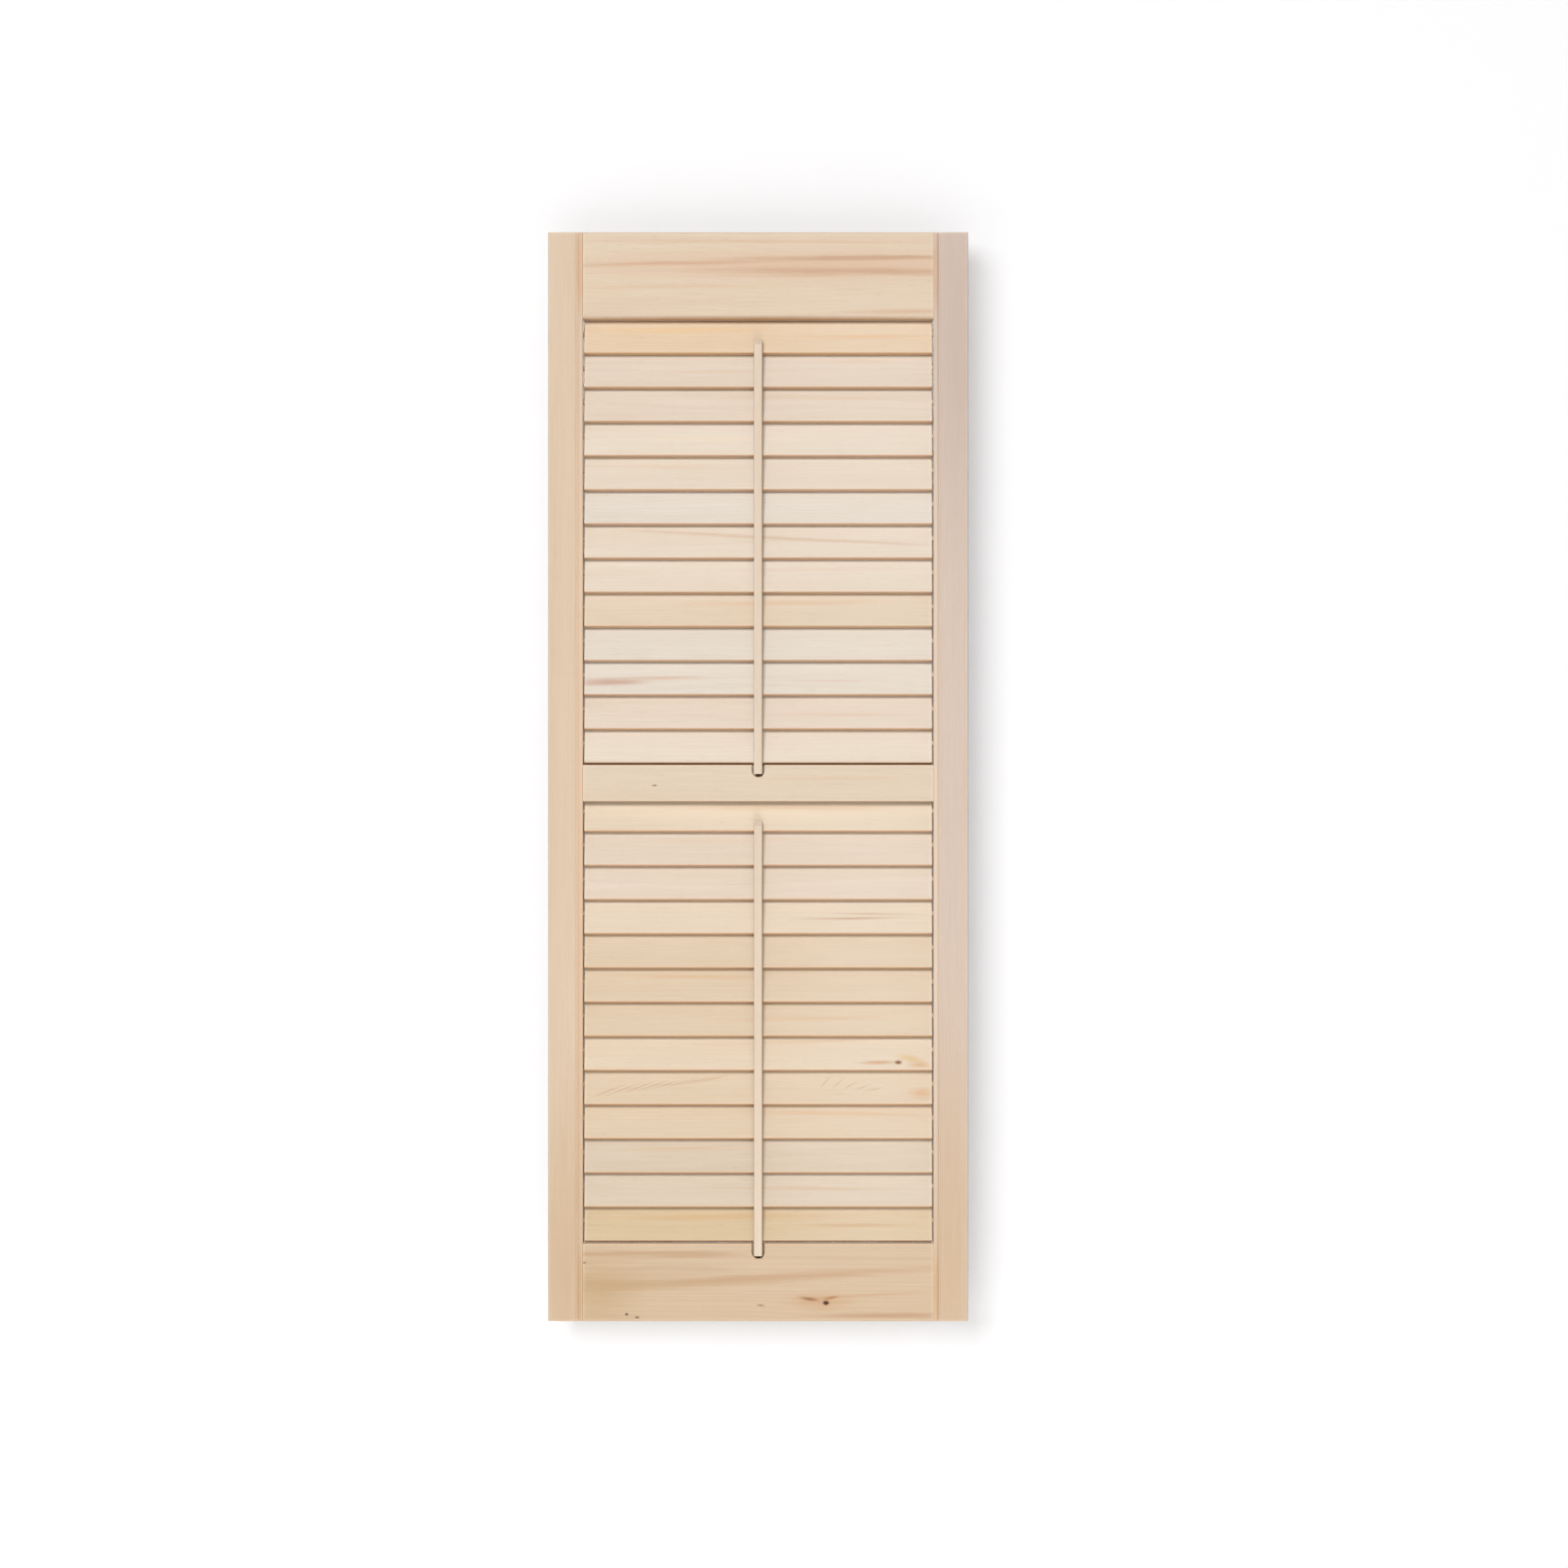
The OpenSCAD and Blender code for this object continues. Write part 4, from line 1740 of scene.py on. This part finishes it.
    def light(self, wall: Piece) -> None:
        """Sets the even fill, the white surroundings and the lamps.

        Args:
            wall: The wall, which has its own lamps.
        """
        world = bpy.data.worlds.new("studio air")
        world.use_nodes = True
        bench = Bench(world.node_tree)
        air = world.node_tree.nodes["Background"]
        air.inputs["Color"].default_value = self.fill_colour
        air.inputs["Strength"].default_value = self.fill
        seen = bench.add("Background", {"Color": self.surroundings}).outputs[0]
        direct = bench.add("LightPath").outputs["Is Camera Ray"]
        both = bench.add("MixShader", {0: direct, 1: air.outputs[0], 2: seen}).outputs[0]
        bench.feed(world.node_tree.nodes["World Output"].inputs["Surface"], both)
        bpy.context.scene.world = world
        shares = {}
        for lit in Lit:
            shares[lit] = bpy.data.collections.new("lamp share " + lit.name.lower())
            shares[lit].objects.link(wall)
            shares[lit].collection_objects[0].light_linking.link_state = lit.value
        for plan in self.lamps:
            lamp = bpy.data.lights.new(plan.name, "AREA")
            lamp.shape = "SQUARE"
            lamp.size = plan.size
            lamp.energy = plan.watts
            lamp.color = plan.colour
            stand = bpy.data.objects.new(plan.name, lamp)
            stand.location = plan.place
            aim = Vector((0, 0, CAD_BOX[1].z / 2)) - Vector(plan.place)
            stand.rotation_euler = aim.to_track_quat("-Z", "Y").to_euler()
            bpy.context.scene.collection.objects.link(stand)
            stand.light_linking.receiver_collection = shares[plan.lights]
            stand.visible_camera = False

    def camera(self) -> None:
        """Stands the camera square in front of the panel."""
        lens = bpy.data.cameras.new("studio_camera")
        lens.lens = self.lens
        lens.sensor_width = self.back_wide
        lens.clip_end = 50
        camera = bpy.data.objects.new("studio_camera", lens)
        away = self.view_high * self.lens / self.back_wide
        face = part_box("left_stile")[0][1]
        camera.location = (self.view_middle[0], face - away, self.view_middle[1])
        camera.rotation_euler = (math.radians(90), 0, 0)
        bpy.context.scene.collection.objects.link(camera)
        bpy.context.scene.camera = camera

    def build(self) -> None:
        """Sets up the wall, the floor, the light and the camera."""
        wall = self.wall()
        self.floor()
        self.light(wall)
        self.camera()
        bpy.context.scene.view_settings.view_transform = "Standard"


# --- The whole panel


@dataclass
class Panel:
    """The whole shutter panel.

    Attributes:
        sizes: The sizes that its pieces share.
    """

    sizes: Sizes = field(default_factory=Sizes)

    def frame_pieces(self) -> list[Piece]:
        """Builds the stiles and rails, and dresses the dowels.

        Returns:
            The new pieces.
        """
        s = self.sizes
        pieces = [
            Stile(-1, Wood.STILE_LEFT, LEFT_STILE_MARKS, s).build(),
            Stile(1, Wood.STILE_RIGHT, RIGHT_STILE_MARKS, s).build(),
            Rail(
                "top_rail", Wood.TOP_RAIL, Sawn.RIFT, seed=2.4, sizes=s,
                first_louver="upper_louver_01", nose=3 * MM, marks=TOP_RAIL_MARKS,
            ).build(),
            Rail(
                "middle_rail", Wood.MIDDLE_RAIL, Sawn.RIFT, seed=17.2, sizes=s,
                first_louver="lower_louver_01", rod="upper_tilt_rod", marks=MIDDLE_RAIL_MARKS,
            ).build(),
            Rail(
                "bottom_rail", Wood.BOTTOM_RAIL, Sawn.SIDE, seed=9.6, sizes=s,
                rod="lower_tilt_rod", rings=0.3, marks=BOTTOM_RAIL_MARKS,
            ).build(),
        ]
        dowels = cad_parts["rail_dowels"]
        half = (12.5 * MM, 3 * MM, 3 * MM)
        finish = BareWood("dowel wood", Wood.DOWEL, half, seed=4.4, edge=0.0)
        dress(dowels, finish.material())
        return pieces

    def build(self) -> list[Piece]:
        """Builds every piece.

        Returns:
            The pieces.
        """
        pieces = self.frame_pieces()
        pattern = Louver(self.sizes).build()
        wire = StapleWire().material()
        pieces += Bank("upper", UPPER_BOARDS, self.sizes, UPPER_MARKS).build(pattern, wire)
        pieces += Bank("lower", LOWER_BOARDS, self.sizes, LOWER_MARKS).build(pattern, wire)
        bpy.data.objects.remove(pattern)
        return pieces


def main() -> None:
    """Builds the panel and the studio and reports each piece."""
    logging.basicConfig(level=logging.INFO, format="%(name)s: %(message)s")
    for piece in Panel().build():
        log.info("%s: %d faces", piece.name, len(piece.data.polygons))
    Studio().build()


if __name__ == "__main__":
    main()
